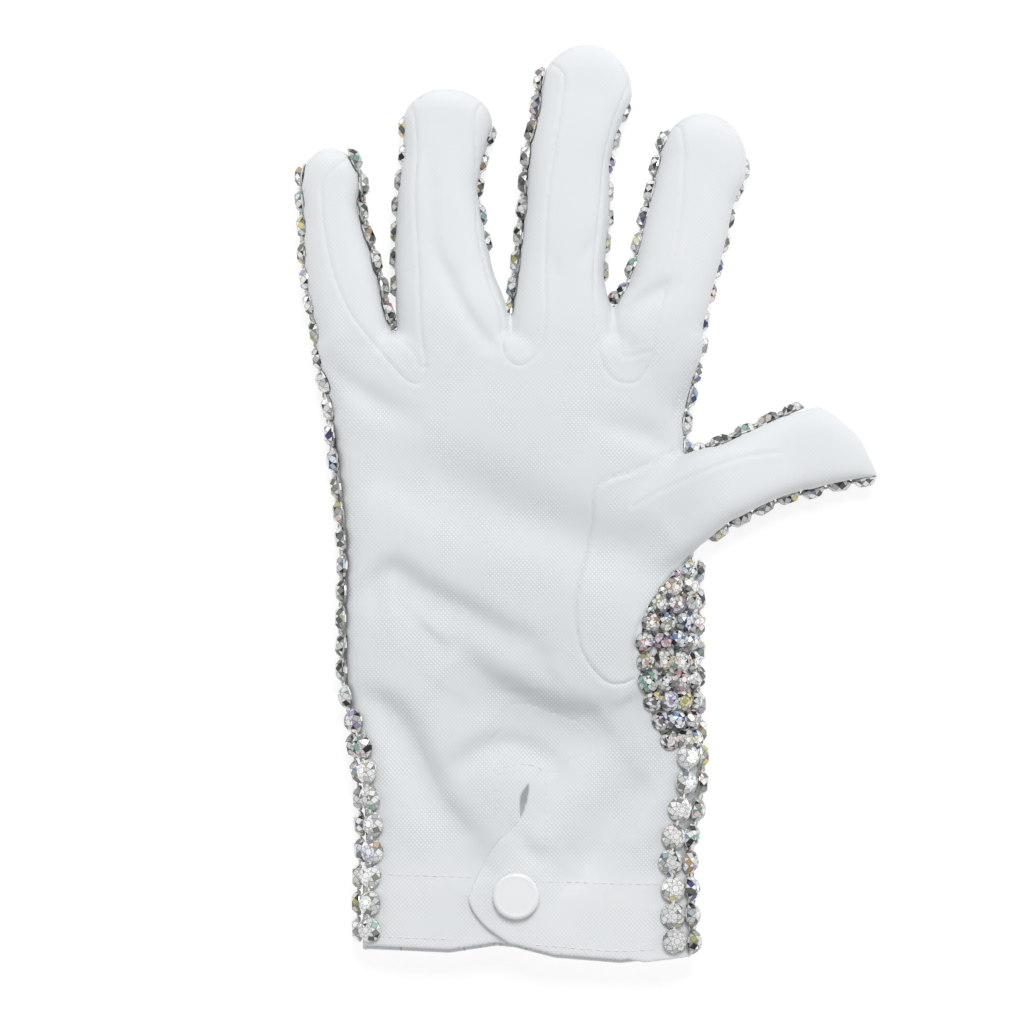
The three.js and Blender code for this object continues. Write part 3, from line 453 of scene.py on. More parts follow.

# Facet colours paint the crystal's light and shade: white for painted highlights to black for
# painted shade, and the hues of the coat as painted reflections, of which each stone shows two
GREYS = [
    (1.0, 1.0, 1.0), (0.82, 0.83, 0.81), (0.54, 0.55, 0.53), (0.29, 0.3, 0.28), (0.08, 0.08, 0.08),
]
HUES = [
    (0.88, 0.77, 0.36), (0.6, 0.6, 0.28), (0.4, 0.64, 0.56), (0.36, 0.52, 0.8), (0.16, 0.18, 0.42),
    (0.54, 0.46, 0.7), (0.82, 0.54, 0.62), (0.98, 0.84, 0.84), (0.76, 0.86, 0.93),
    (0.62, 0.46, 0.28), (0.94, 0.9, 0.72),
]
# Shares of each colour by facet kind: darker girdle and upper facets are painted shade that rounds
# the stone, the light core is a painted highlight
FACET_LIGHT_SHARE = {
    "core": [0.66, 0.12, 0.02, 0.02, 0.02, 0.09, 0.07],
    "inner": [0.4, 0.15, 0.06, 0.04, 0.04, 0.18, 0.13],
    "star": [0.3, 0.18, 0.1, 0.08, 0.08, 0.16, 0.1],
    "kite": [0.26, 0.2, 0.15, 0.12, 0.08, 0.12, 0.07],
    "upper": [0.2, 0.21, 0.2, 0.18, 0.1, 0.07, 0.04],
    "girdle": [0.12, 0.36, 0.34, 0.14, 0.04, 0, 0],
    "back": [0, 0.5, 0.5, 0, 0, 0, 0],
}
# The stones that lie face up at the cuff show more white facets: painted reflection of the light
# from above
FACE_UP_LIT_FROM = -64
FACE_UP = 0.6
FACE_UP_LIGHT_SHARE = {
    **FACET_LIGHT_SHARE,
    "core": [0.92, 0.04, 0, 0, 0, 0.02, 0.02],
    "inner": [0.74, 0.1, 0.04, 0.02, 0.01, 0.05, 0.04],
    "star": [0.56, 0.18, 0.08, 0.04, 0.02, 0.07, 0.05],
    "kite": [0.44, 0.24, 0.12, 0.07, 0.03, 0.06, 0.04],
    "upper": [0.36, 0.26, 0.18, 0.1, 0.04, 0.04, 0.02],
}
TINT_DEPTH = 1.5  # power that deepens the tints
FACET_SHADES = (0.85, 1.06)
STONE_SHADES = (0.88, 1.04)

# Studio and camera. The photograph's middle is given in its pixels from the tables' origin
FLOOR_GLOW = 0.78
SKY_STRENGTH = 0.5
LIGHTS = [
    ("key", (0.1, 0.92, 1.5), 0.7, 18.2), ("fill_right", (1.6, 0.3, 0.6), 0.8, 3.0),
    ("fill_left", (-1.6, 0.3, 0.6), 0.8, 1.2),
]
FRAME_WIDTH = 0.2688
PIXEL = 0.2625
PHOTO_MIDDLE = (-74.5, -8.5)


# Places on the glove

def spline(points, steps):
    p = np.asarray(points, float)
    p = np.vstack([p[:1], p, p[-1:]])
    t = (np.arange(steps) / steps)[:, None]
    runs = []
    for a, b, c, d in zip(p, p[1:], p[2:], p[3:]):
        bend = 2 * a - 5 * b + 4 * c - d
        runs.append(0.5 * (2 * b + (c - a) * t + bend * t**2 + (3 * b - a - 3 * c + d) * t**3))
    return np.vstack(runs + [p[-2:-1]])


def unit(v):
    """Unit vectors, also where some have no length."""
    return v / np.maximum(np.linalg.norm(v, axis=-1, keepdims=True), TINY)


def headings(line):
    p = np.asarray(line, float)[:, :2]
    return unit(np.vstack([p[1:], p[-1:]]) - np.vstack([p[:1], p[:-1]]))


def section(x, y, half, heading, dome, crest, bottom, widest=WIDEST):
    """A cut across a tube: its middle and heading in plan, its half width and its heights."""
    return {"x": x, "y": y, "half": half, "heading": heading, "dome": dome, "crest": crest,
            "bottom": bottom, "widest": widest}


def finger_sections(finger, inset, tip_steps, smooth):
    """Sections from the root to the tip. smooth is the number of steps between stations."""
    def line_of(points):
        return spline(points, smooth) if smooth > 1 else np.array(points, float)

    dome = finger.get("dome", FINGER_DOME)
    line = line_of(finger["stations"])
    out = [
        section(x, y, half - inset, heading, dome, crest - inset, CLOTH_BOTTOM + inset)
        for (x, y, half, crest), heading in zip(line, headings(line))
    ]
    if "end" in finger:
        full = finger["end"][0][2]
        crest, bottom = out[-1]["crest"], out[-1]["bottom"]
        for x, y, half in line_of(finger["end"]):
            share = half / full
            widest = WIDEST + (TIP_WIDEST - WIDEST) * (1 - share) ** 2
            out.append(section(
                x, y, max(half - inset, LEAST_HALF), np.array([1.0, 0.0]), dome,
                widest + (crest - WIDEST) * share**END_FALL,
                widest - (WIDEST - bottom) * share**END_FALL, widest,
            ))
        return out
    start = out.pop()
    reach = np.array(finger["tip"]) - (start["x"], start["y"])
    length = np.linalg.norm(reach) - inset
    towards = unit(reach)
    for f in tip_steps:
        share = math.sqrt(1 - f * f)
        widest = WIDEST + (TIP_WIDEST - WIDEST) * f * f
        heading = unit(start["heading"] + towards) if f == 0 else towards
        out.append(section(
            start["x"] + towards[0] * f * length, start["y"] + towards[1] * f * length,
            start["half"] * share, heading, dome,
            widest + (start["crest"] - WIDEST) * math.sqrt(1 - f**3),
            widest - (WIDEST - start["bottom"]) * share, widest,
        ))
    return out


def palm_section(y, inset=0.0):
    left, right, crest, dome = (np.interp(y, PALM[:, 0], PALM[:, k]) for k in range(1, 5))
    return section((left + right) / 2, y, (right - left) / 2 - inset, np.array([0.0, 1.0]), dome,
                   crest - inset, CLOTH_BOTTOM + inset)


def top_arc(cut, facets, upto=None):
    """Across and up along the dome from its right widest point to its left one."""
    angle = np.pi * np.arange((upto or facets) + 1) / facets
    c, s = np.cos(angle), np.sin(angle)
    across = cut["half"] * np.sign(c) * np.abs(c) ** (2 / cut["dome"])
    up = cut["widest"] + (cut["crest"] - cut["widest"]) * np.abs(s) ** (2 / cut["dome"])
    return across, up


def full_outline(cut):
    across, up = top_arc(cut, TOP_FACETS)
    angle = np.pi * np.arange(1, LOW_FACETS) / LOW_FACETS
    c, s = np.cos(angle), np.sin(angle)
    low_across = -cut["half"] * np.sign(c) * np.abs(c) ** (2 / BOTTOM_SQUARE)
    low_up = cut["widest"] - (cut["widest"] - cut["bottom"]) * np.abs(s) ** (2 / BOTTOM_SQUARE)
    return np.concatenate([across, low_across]), np.concatenate([up, low_up])


def loft(cuts):
    """Closed mesh through the sections: (points, faces)."""
    points = []
    for cut in cuts:
        across, up = full_outline(cut)
        h = cut["heading"]
        points.append(np.stack([cut["x"] + h[1] * across, cut["y"] - h[0] * across, up], 1))
    sides = len(points[0])
    faces = []
    for r in range(len(cuts) - 1):
        for k in range(sides):
            n = (k + 1) % sides
            faces.append((r * sides + k, (r + 1) * sides + k, (r + 1) * sides + n, r * sides + n))
    last = (len(cuts) - 1) * sides
    faces.append(tuple(range(sides)))
    faces.append(tuple(range(last + sides - 1, last - 1, -1)))
    return np.vstack(points), faces


def glove_form(inset, voxel):
    """The whole glove as one skin of small quads, at a distance inside its outer surface."""
    tip_steps = np.sin(np.linspace(0, TIP_END, TIP_SECTIONS))
    parts = [loft(finger_sections(f, inset, tip_steps, STATION_STEPS)) for f in FINGERS.values()]
    parts.append(loft([palm_section(y, inset) for y in PALM_ROWS]))
    faces, base = [], 0
    for p, f in parts:
        faces += [tuple(i + base for i in face) for face in f]
        base += len(p)
    mesh = bpy.data.meshes.new("form")
    mesh.from_pydata(np.vstack([p for p, _ in parts]).tolist(), [], faces)
    made = bpy.data.objects.new("form", mesh)
    bpy.context.scene.collection.objects.link(made)
    remesh = made.modifiers.new("remesh", "REMESH")
    remesh.mode = "VOXEL"
    remesh.voxel_size = voxel
    remesh.adaptivity = 0
    graph = bpy.context.evaluated_depsgraph_get()
    done = bpy.data.meshes.new_from_object(made.evaluated_get(graph))
    points = np.empty(len(done.vertices) * 3)
    done.vertices.foreach_get("co", points)
    corners = np.empty(len(done.loops), int)
    done.loops.foreach_get("vertex_index", corners)
    assert len(corners) == 4 * len(done.polygons)
    bpy.data.objects.remove(made)
    bpy.data.meshes.remove(mesh)
    bpy.data.meshes.remove(done)
    points, corners = points.reshape(-1, 3), corners.reshape(-1, 4)
    return smoothed(points, edges_of(corners), FORM_SMOOTHING), corners


# Skins as arrays of points and quads

def sides_of(faces):
    return np.concatenate([faces[:, [k, (k + 1) % 4]] for k in range(4)])


def edges_of(faces):
    return np.unique(np.sort(sides_of(faces), 1), axis=0)


def gathered(index, values, count):
    """The sum of the rows of values that belong to each index."""
    return np.stack([np.bincount(index, values[:, axis], count) for axis in range(3)], 1)


def point_normals(points, faces):
    a, b, c, d = (points[faces[:, k]] for k in range(4))
    n = np.cross(c - a, d - b)
    return unit(sum(gathered(faces[:, k], n, len(points)) for k in range(4)))


def smoothed(points, edges, times, weight=0.5):
    """Each point moves towards its neighbours' mean. weight may differ from point to point."""
    count = np.bincount(edges.ravel(), minlength=len(points))
    weight = np.broadcast_to(np.asarray(weight, float), (len(points),))[:, None]
    for _ in range(times):
        total = gathered(edges[:, 0], points[edges[:, 1]], len(points))
        total += gathered(edges[:, 1], points[edges[:, 0]], len(points))
        points = points + weight * (total / np.maximum(count, 1)[:, None] - points)
    return points


def near_line(xy, line):
    """Distance to a line in plan, side (positive on its left), share along it, nearest place."""
    line = np.asarray(line, float)
    best = np.full(len(xy), FAR)
    side, along = np.zeros(len(xy)), np.zeros(len(xy))
    place = np.array(xy, float)
    for i, (a, b) in enumerate(zip(line, line[1:])):
        u = b - a
        d = xy - a
        t = np.clip((d @ u) / (u @ u), 0, 1)
        dist = np.hypot(*(d - t[:, None] * u).T)
        near = dist < best
        best[near] = dist[near]
        side[near] = np.sign(u[0] * d[near, 1] - u[1] * d[near, 0])
        along[near] = (i + t[near]) / (len(line) - 1)
        place[near] = a + t[near, None] * u
    return best, side, along, place


def snap_to(points, mask, line):
    """Moves the marked points in plan on to a line."""
    points[mask, :2] = near_line(points[mask, :2], line)[3]


def inside(xy, outline):
    within = np.zeros(len(xy), bool)
    outline = np.asarray(outline, float)
    for (ax, ay), (bx, by) in zip(outline, np.roll(outline, -1, axis=0)):
        if ay != by:
            crosses = (ay > xy[:, 1]) != (by > xy[:, 1])
            within ^= crosses & (xy[:, 0] < ax + (bx - ax) * (xy[:, 1] - ay) / (by - ay))
    return within


def cuff_y(x):
    edge = np.array(CUFF_EDGE)
    return np.interp(x, edge[:, 0], edge[:, 1])


def smoothstep(x, low, high):
    t = np.clip((x - low) / (high - low), 0, 1)
    return t * t * (3 - 2 * t)


def band(x, start, full, fade, end):
    """One between full and fade, nothing before start and behind end."""
    return smoothstep(x, start, full) * (1 - smoothstep(x, fade, end))


def groove(dist):
    """Profile across a seam: a thin groove between two low ridges."""
    ridges = RIDGE_HEIGHT * np.exp(-((dist - RIDGE_PLACE) / RIDGE_WIDTH) ** 2)
    return ridges - GROOVE_DEPTH * np.exp(-(dist / GROOVE_WIDTH) ** 2)


def sewn_depth(xy):
    return -sum(groove(near_line(xy, spline(line, 6))[0]) for line in SEWN_LINES)


def fold_depth(xy):
    total = np.zeros(len(xy))
    for x, y, reach, depth in PUCKERS:
        away = (xy[:, 0] - x) ** 2 + ((xy[:, 1] - y) * PUCKER_SQUEEZE) ** 2
        total += depth * np.exp(-away / reach**2)
    for line, left, right, depth in FOLDS:
        dist, side, along, _ = near_line(xy, spline(line, 6))
        reach = np.where(side > 0, left, right)
        ends = np.sin(np.pi * np.clip(along, *FOLD_ENDS)) ** 0.5
        total += FOLD_SCALE * depth * ends * np.exp(-(dist / reach) ** 2)
    return total


strips = {name: spline(line, 4) for name, line in FOURCHETTES.items()}
thumb_line = spline(THUMB_SEAM, 6)
thumb_edge = spline(THUMB_LOWER_EDGE, 4)
wrap_left = spline(WRAP_LEFT, 4)
wrap_right = spline(WRAP_RIGHT, 4)
flap_line = spline(FLAP_LINE, 8)
eye_line = spline(SLIT_EYE + SLIT_EYE[:1], 4)[:-1]
thumb_rest = [(50, -14), (90, -5), (90, 35), (45, 30)]
thumb_area = [*thumb_line, *thumb_edge, *thumb_rest]
thumb_tube = [(THUMB_ROOT, 20), (THUMB_ROOT, -19), (50, -19), *thumb_rest[1:]]
left_area = [*wrap_left, (-80, -130), (-80, -50)]
right_area = [*wrap_right, (60, -130), (60, -14), *thumb_edge[::-1]]
CLOTH_NODES = ["palm_panel", "back_panel", "thumb", *FOURCHETTES]


def regions(centres):
    """The cloth piece that each place belongs to, as an index of CLOTH_NODES."""
    xy, z = centres[:, :2], centres[:, 2]
    out = np.zeros(len(centres), int)
    out[(z < PANEL_SEAM) | inside(xy, left_area) | inside(xy, right_area)] = 1
    for i, line in enumerate(strips.values()):
        out[inside(xy, line) & (z > FOURCHETTE_LOW)] = 3 + i
    out[(inside(xy, thumb_area) & (z > PANEL_SEAM)) | inside(xy, thumb_tube)] = 2
    return out


# Materials

def material(name, colour, roughness):
    made = bpy.data.materials.new(name)
    made.use_nodes = True
    shader = made.node_tree.nodes["Principled BSDF"]
    shader.inputs["Base Color"].default_value = (*colour, 1)
    shader.inputs["Roughness"].default_value = roughness
    return made, made.node_tree, shader


def node(tree, kind, **values):
    """A node with its settings and its sockets' values by name."""
    made = tree.nodes.new(kind)
    for name, value in values.items():
        if hasattr(made, name):
            setattr(made, name, value)
        else:
            made.inputs[name.replace("_", " ")].default_value = value
    return made


def ramp(tree, value, low, low_colour, high, high_colour):
    made = node(tree, "ShaderNodeValToRGB")
    stops = made.color_ramp.elements
    for stop, place, colour in zip(stops, (low, high), (low_colour, high_colour)):
        stop.position = place
        stop.color = (*colour, 1)
    tree.links.new(value, made.inputs["Fac"])
    return made.outputs["Color"]


def cloth_material(name, colour):
    """Fine white knit: staggered stitches that show more on the palm than elsewhere. Painted shade
    darkens the palm, and painted light brightens its left side and the hem.
    """
    made, tree, shader = material(name, colour, 0.9)
    link = tree.links.new

    def calc(operation, *terms):
        made = node(tree, "ShaderNodeMath", operation=operation)
        for socket, term in zip(made.inputs, terms):
            if isinstance(term, float):
                socket.default_value = term
            else:
                link(term, socket)
        return made.outputs["Value"]

    def ranged(value, reach, at_low, at_high):
        made = node(tree, "ShaderNodeMapRange", From_Min=reach[0], From_Max=reach[1],
                    To_Min=at_low, To_Max=at_high)
        link(value, made.inputs["Value"])
        return made.outputs["Result"]

    def noise(scale, detail):
        made = node(tree, "ShaderNodeTexNoise", Scale=scale, Detail=detail)
        link(place, made.inputs["Vector"])
        return made.outputs["Fac"]

    place = node(tree, "ShaderNodeTexCoord").outputs["Object"]
    shader.inputs["Sheen Weight"].default_value = 0.25
    shader.inputs["Sheen Roughness"].default_value = 0.6
    shader.inputs["Specular IOR Level"].default_value = 0.2
    waves = []
    for turn in KNIT_TURNS:
        mapping = node(tree, "ShaderNodeMapping", Rotation=(0, 0, turn))
        link(place, mapping.inputs["Vector"])
        wave = node(tree, "ShaderNodeTexWave", wave_type="BANDS", bands_direction="X",
                    Scale=WAVE_PERIOD / KNIT_PITCH, Distortion=1.1, Detail=1, Detail_Scale=0.5)
        link(mapping.outputs["Vector"], wave.inputs["Vector"])
        waves.append(wave.outputs["Fac"])
    broad, worn, fuzz = noise(45, 2), noise(85, 1), noise(1500, 3)

    # The palm's area: below the fingers' roots, left of the thumb, above the hem
    parts = node(tree, "ShaderNodeSeparateXYZ")
    link(place, parts.inputs["Vector"])
    hand = calc("MULTIPLY", ranged(parts.outputs["Y"], PALM_TO_FINGERS, 1, 0),
                ranged(parts.outputs["X"], PALM_TO_THUMB, 1, 0))
    over_hem = ranged(parts.outputs["Y"], HEM_TO_PALM, 0, 1)
    palm = calc("MULTIPLY", hand, over_hem)
    areas = calc("MULTIPLY", ranged(hand, (0, 1), KNIT_ELSEWHERE, 1),
                 ranged(over_hem, (0, 1), KNIT_AT_HEM, 1))
    shown = calc("MULTIPLY", areas, ranged(worn, WORN_RANGE, KNIT_WORN, 1))
    # Two crossed waves are 0.25 on average
    knit = calc("MULTIPLY", calc("SUBTRACT", calc("MULTIPLY", *waves), 0.25), shown)

    bump = node(tree, "ShaderNodeBump", Strength=0.35, Distance=0.00014)
    link(calc("MULTIPLY_ADD", fuzz, 0.3, calc("MULTIPLY", knit, 1.6)), bump.inputs["Height"])
    link(bump.outputs["Normal"], shader.inputs["Normal"])

    # Painted shade: the palm's base colour is darker than elsewhere. Painted light: the cloth over
    # the hem and the palm's left side are lighter
    painted_shade_level = calc("ADD", ranged(palm, (0, 1), TONE, PALM_PAINTED_SHADE),
                 ranged(over_hem, (0, 1), HEM_PAINTED_LIGHT, 0))
    left = ranged(parts.outputs["X"], LEFT_TO_PALM, LEFT_PAINTED_LIGHT, 0)
    painted_shade_level = calc("MULTIPLY_ADD", left, palm, painted_shade_level)
    knit_and_painted_shade = calc("MULTIPLY_ADD", knit, 0.9, calc("MULTIPLY_ADD", broad, 0.3, painted_shade_level))
    dark = [c * share for c, share in zip(colour, DARK_TONE)]
    light = [c * LIGHT_TONE for c in colour]
    link(ramp(tree, knit_and_painted_shade, 0, dark, 1, light), shader.inputs["Base Color"])
    return made, shader


def stone_material():
    """Cut crystal with a coat of many tints. Each facet's colour is painted highlight, shade and
    reflection, with a thin outline of painted shade.
    """
    made, tree, shader = material("crystal", (0.82, 0.82, 0.82), 0.08)
    link = tree.links.new
    facet_light_and_shade = node(tree, "ShaderNodeVertexColor", layer_name="facet_light_and_shade")
    outline = node(tree, "ShaderNodeVertexColor", layer_name="outline")
    sides = node(tree, "ShaderNodeSeparateColor")
    link(outline.outputs["Color"], sides.inputs["Color"])
    nearest = sides.outputs["Red"]
    for other in ("Green", "Blue"):
        least = node(tree, "ShaderNodeMath", operation="MINIMUM")
        link(nearest, least.inputs[0])
        link(sides.outputs[other], least.inputs[1])
        nearest = least.outputs["Value"]
    mix = node(tree, "ShaderNodeMix", data_type="RGBA", blend_type="MULTIPLY")
    mix.inputs["Factor"].default_value = 1.0
    link(facet_light_and_shade.outputs["Color"], mix.inputs[6])
    link(ramp(tree, nearest, 0.02, FACET_EDGE_SHADE, 0.09, (1, 1, 1)), mix.inputs[7])
    link(mix.outputs[2], shader.inputs["Base Color"])
    shader.inputs["Metallic"].default_value = 0.2
    shader.inputs["IOR"].default_value = 1.6
    shader.inputs["Coat Weight"].default_value = 0.2
    shader.inputs["Coat Roughness"].default_value = 0.04
    return made


cloth_look, _ = cloth_material("white_cotton", COTTON)
inside_glow_look, inside_shader = cloth_material("white_cotton_inside_glow", COTTON)
# The inner side glows a little: painted light that makes the slit's eye and the cuff's opening look
# lit
inside_shader.inputs["Emission Color"].default_value = (1, 1, 1, 1)
inside_shader.inputs["Emission Strength"].default_value = 0.12
thread_look, _, _ = material("white_thread", (0.8, 0.8, 0.8), 0.6)
snap_look, _, _ = material("snap_white", (0.83, 0.85, 0.86), 0.3)
stone_look = stone_material()

# The tables' origin in the frame, from the snap's place
snap_low, snap_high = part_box("snap_cap")
SHIFT = np.array([
    *((snap_low[k] + snap_high[k]) / 2 / MM - SNAP[axis] for k, axis in enumerate("xy")), 0.0,
])


def add_mesh(name, points, faces, look, smooth=True, replaced=()):
    mesh = bpy.data.meshes.new(name)
    points = (np.asarray(points) + SHIFT) * MM
    mesh.from_pydata(points.tolist(), [], faces if isinstance(faces, list) else faces.tolist())
    mesh.polygons.foreach_set("use_smooth", np.full(len(mesh.polygons), smooth))
    mesh.materials.append(look)
    mesh.update()
    made = bpy.data.objects.new(name, mesh)
    bpy.context.scene.collection.objects.link(made)
    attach(made, "root")
    if replaced:
        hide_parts(*replaced)
    return made


# Cloth

def shared_points(faces, kind, a, b):
    """Points that a face of kind a and a face of kind b share."""
    count = faces.max() + 1
    has = [np.zeros(count, bool), np.zeros(count, bool)]
    has[0][faces[kind == a].ravel()] = True
    has[1][faces[kind == b].ravel()] = True
    return has[0] & has[1]


def open_edges(faces):
    """Edges that only one face has, in the face's own direction."""
    pairs = sides_of(faces)
    _, index, count = np.unique(np.sort(pairs, 1), axis=0, return_index=True, return_counts=True)
    return pairs[index[count == 1]]


def keep_faces(points, faces, keep):
    faces = faces[keep]
    used = np.unique(faces)
    new = np.full(len(points), -1)
    new[used] = np.arange(len(used))
    return points[used], new[faces]


def cuff_at(places):
    """The cuff's edge: the palm's layer ends a little above the back's."""
    step = CUFF_STEP * (1 - smoothstep(places[:, 0], *CUFF_STEP_FADE))
    return cuff_y(places[:, 0]) + step * smoothstep(places[:, 2], *LAYERS_PART)


points, faces = glove_form(0.0, VOXEL)
x, y, z = points.T
softer = np.maximum(band(y, *FINGER_ROOTS_Y), band(x, *THUMB_ROOT_X) * band(y, *THUMB_ROOT_Y))
softer = 0.5 * softer * smoothstep(z, PANEL_SEAM, PANEL_SEAM + 2)
points = smoothed(points, edges_of(faces), ROOT_SMOOTHING, softer)

# The cuff is cut off along its edge
centres = points[faces].mean(1)
below = centres[:, 1] < cuff_at(centres)
edge = shared_points(faces, below.astype(int), 0, 1)
points[:, 1][edge] = cuff_at(points[edge])
points, faces = keep_faces(points, faces, ~below)

# The slit's eye is open, and the flap's free edge is cut down to the cuff
centres = points[faces].mean(1)
eye = inside(centres[:, :2], eye_line) & (centres[:, 2] > PANEL_SEAM)
rim = shared_points(faces, eye.astype(int), 0, 1) & (points[:, 2] > PANEL_SEAM)
snap_to(points, rim, np.vstack([eye_line, eye_line[:1]]))
points, faces = keep_faces(points, faces, ~eye)
centres = points[faces].mean(1)
dist, side, _, _ = near_line(centres[:, :2], flap_line)
kind = np.where((centres[:, 2] > PANEL_SEAM) & (dist < FLAP_REACH), np.where(side > 0, 1, 2), 0)
rip = shared_points(faces, kind, 1, 2) & (points[:, 1] < SLIT_EYE[3][1] + VOXEL)
snap_to(points, rip, flap_line)
ripped = np.flatnonzero(rip)
twins = np.arange(len(points))
twins[ripped] = len(points) + np.arange(len(ripped))
points = np.vstack([points, points[ripped]])
on_flap = kind == 1
faces[on_flap] = twins[faces[on_flap]]

# The flap's side is lifted over the other half
dist, side, _, _ = near_line(points[:, :2], flap_line)
flap_side = (side > 0) & (dist >= FLAP_REACH - 0.5)
flap_side[np.unique(faces[on_flap])] = True
lift = FLAP_LIFT * smoothstep(-points[:, 0], *FLAP_LIFT_X) * smoothstep(-points[:, 1], *FLAP_LIFT_Y)
lift *= flap_side & (points[:, 2] > PANEL_SEAM)

# Folds, on the upper side only
fade = np.clip((points[:, 2] - PANEL_SEAM) / FOLD_FADE, 0, 1)
points[:, 2] += lift - fade * fold_depth(points[:, :2])
edges = edges_of(faces)
for _ in range(FOLD_SOFTENING):
    points[:, 2] = smoothed(points, edges, 1, 0.5 * fade)[:, 2]
points[:, 2] -= fade * sewn_depth(points[:, :2])

# Pieces, parted along the seams
piece = regions(points[faces].mean(1))
pieces_here = np.zeros(len(points), int)
for k in range(len(CLOTH_NODES)):
    pieces_here[np.unique(faces[piece == k])] += 1
seam = pieces_here > 1
high = seam & (points[:, 2] > PANEL_SEAM + VOXEL)
for line in (*strips.values(), thumb_line, thumb_edge, wrap_left, wrap_right):
    snap_to(points, high & (near_line(points[:, :2], line)[0] < SEAM_NEAR), line)
points[seam & (np.abs(points[:, 2] - PANEL_SEAM) < VOXEL), 2] = PANEL_SEAM

tree = KDTree(int(seam.sum()))
for i in np.flatnonzero(seam):
    tree.insert(Vector(points[i]), int(i))
tree.balance()
edges = edges_of(faces)
close = seam.copy()
for _ in range(SEAM_RINGS):
    hit = close[edges[:, 0]] | close[edges[:, 1]]
    close[edges[hit].ravel()] = True
# The back's seam is shallow, and the cloth runs on over the cuff's corners
seam_share = np.ones(len(points))
for line in (wrap_left, wrap_right):
    seam_share[high & (near_line(points[:, :2], line)[0] < WRAP_NEAR)] = 0
seam_share[np.abs(points[:, 2] - PANEL_SEAM) < SEAM_NEAR] = SIDE_SEAM_SHARE
reach = np.full(len(points), FAR)
share = np.zeros(len(points))
for i in np.flatnonzero(close):
    _, nearest, reach[i] = tree.find(Vector(points[i]))
    share[i] = seam_share[nearest]
points += point_normals(points, faces) * (share * groove(reach))[:, None]

# The thumb's piece stands over the palm along the upper part of its seam
dist, side, along, _ = near_line(points[:, :2], thumb_line)
step = np.where(side > 0, THUMB_SIDE_UP, -PALM_SIDE_DOWN) * np.exp(-dist / THUMB_STEP_WIDTH)
step *= 1 - smoothstep(along, *THUMB_STEP_FADE)
step = np.where(dist < ON_SEAM, -ON_SEAM_DOWN, step)
points[:, 2] += step * smoothstep(points[:, 2], PANEL_SEAM + 0.5, PANEL_SEAM + 2)

# The open edges roll over a soft rim and run on inside
normals = point_normals(points, faces)
rim = open_edges(faces)
away = np.cross(points[rim[:, 1]] - points[rim[:, 0]], normals[rim[:, 0]])
away = unit(sum(gathered(rim[:, k], away, len(points)) for k in range(2)))
loop = np.unique(rim)
at_cuff = np.abs(points[loop, 1] - cuff_at(points[loop])) < AT_CUFF
clear_of_flap = near_line(points[loop, :2], flap_line)[0] > CLEAR_OF_FLAP
deepest = np.where(at_cuff & clear_of_flap, -CUFF_RIM_REACH, -OTHER_RIM_REACH)[:, None]
row_of = np.full(len(points), -1)
row_of[loop] = np.arange(len(loop))
owner = np.zeros(len(points), int)
for k in range(4):
    owner[faces[:, k]] = piece
skin_points, skin_faces, skin_piece = [points], [faces], [piece]
before = rim
base = len(points)
for distance, depth in RIM_ROWS:
    row = points[loop] + away[loop] * np.maximum(distance, deepest) - normals[loop] * depth
    after = base + row_of[rim]
    skin_points.append(row)
    skin_faces.append(np.stack([before[:, 1], before[:, 0], after[:, 0], after[:, 1]], 1))
    skin_piece.append(owner[rim[:, 0]])
    before = after
    base += len(loop)
outer_points, outer_faces = np.vstack(skin_points), np.vstack(skin_faces)
outer_piece = np.concatenate(skin_piece)

# The inner side of the cloth
inner_points, inner_faces = glove_form(CLOTH, INSIDE_VOXEL)
centres = inner_points[inner_faces].mean(1)
fade = np.clip((inner_points[:, 2] - PANEL_SEAM + CLOTH) / FOLD_FADE, 0, 1)
inner_points[:, 2] -= fade * fold_depth(inner_points[:, :2])
open_eye = inside(centres[:, :2], eye_line) & (centres[:, 2] > PANEL_SEAM - 2)
keep = (centres[:, 1] > cuff_y(centres[:, 0]) + INSIDE_SHORTER) & ~open_eye
inner_points, inner_faces = keep_faces(inner_points, inner_faces, keep)
inner_piece = regions(inner_points[inner_faces].mean(1) + (0, 0, CLOTH * 0.8))
inner_faces = inner_faces[:, ::-1]


# Stones: where they are

rng = np.random.default_rng(11)


def side_frame(cut, side, arc):
    """Place and outward normal at a length of arc above a section's widest point on one side."""
    across, up = top_arc(cut, ARC_FACETS, ARC_FACETS // 2)
    run = np.hypot(np.diff(across), np.diff(up))
    left, k = max(arc, 0.0), 0
    while left > run[k] and k < len(run) - 1:
        left -= run[k]
        k += 1
    t = left / run[k]
    a = across[k] + (across[k + 1] - across[k]) * t
    u = up[k] + (up[k + 1] - up[k]) * t
    rise_out = (up[k + 1] - up[k]) / run[k]
    rise = (across[k] - across[k + 1]) / run[k]
    h = cut["heading"]
    right = np.array([h[1], -h[0], 0.0]) * side
    normal = right * rise_out + np.array([0, 0, rise])
    place = np.array([cut["x"], cut["y"], u + min(arc, 0.0)]) + right * a + normal * STONE_GAP
    return {"place": place, "normal": normal}


def finger_frames(finger, side, arc):
    """Frames from the tip down one side, four to each step between stations."""
    cuts = finger_sections(finger, 0.0, [0, 0.3, 0.5, 0.7], 1)[::-1]
    out = []
    for a, b in zip(cuts, cuts[1:]):
        for t in np.arange(4) / 4:
            mixed = {key: a[key] + (b[key] - a[key]) * t for key in a if key != "heading"}
            mixed["heading"] = unit(a["heading"] * (1 - t) + b["heading"] * t)
            out.append(side_frame(mixed, side, arc))
    return out


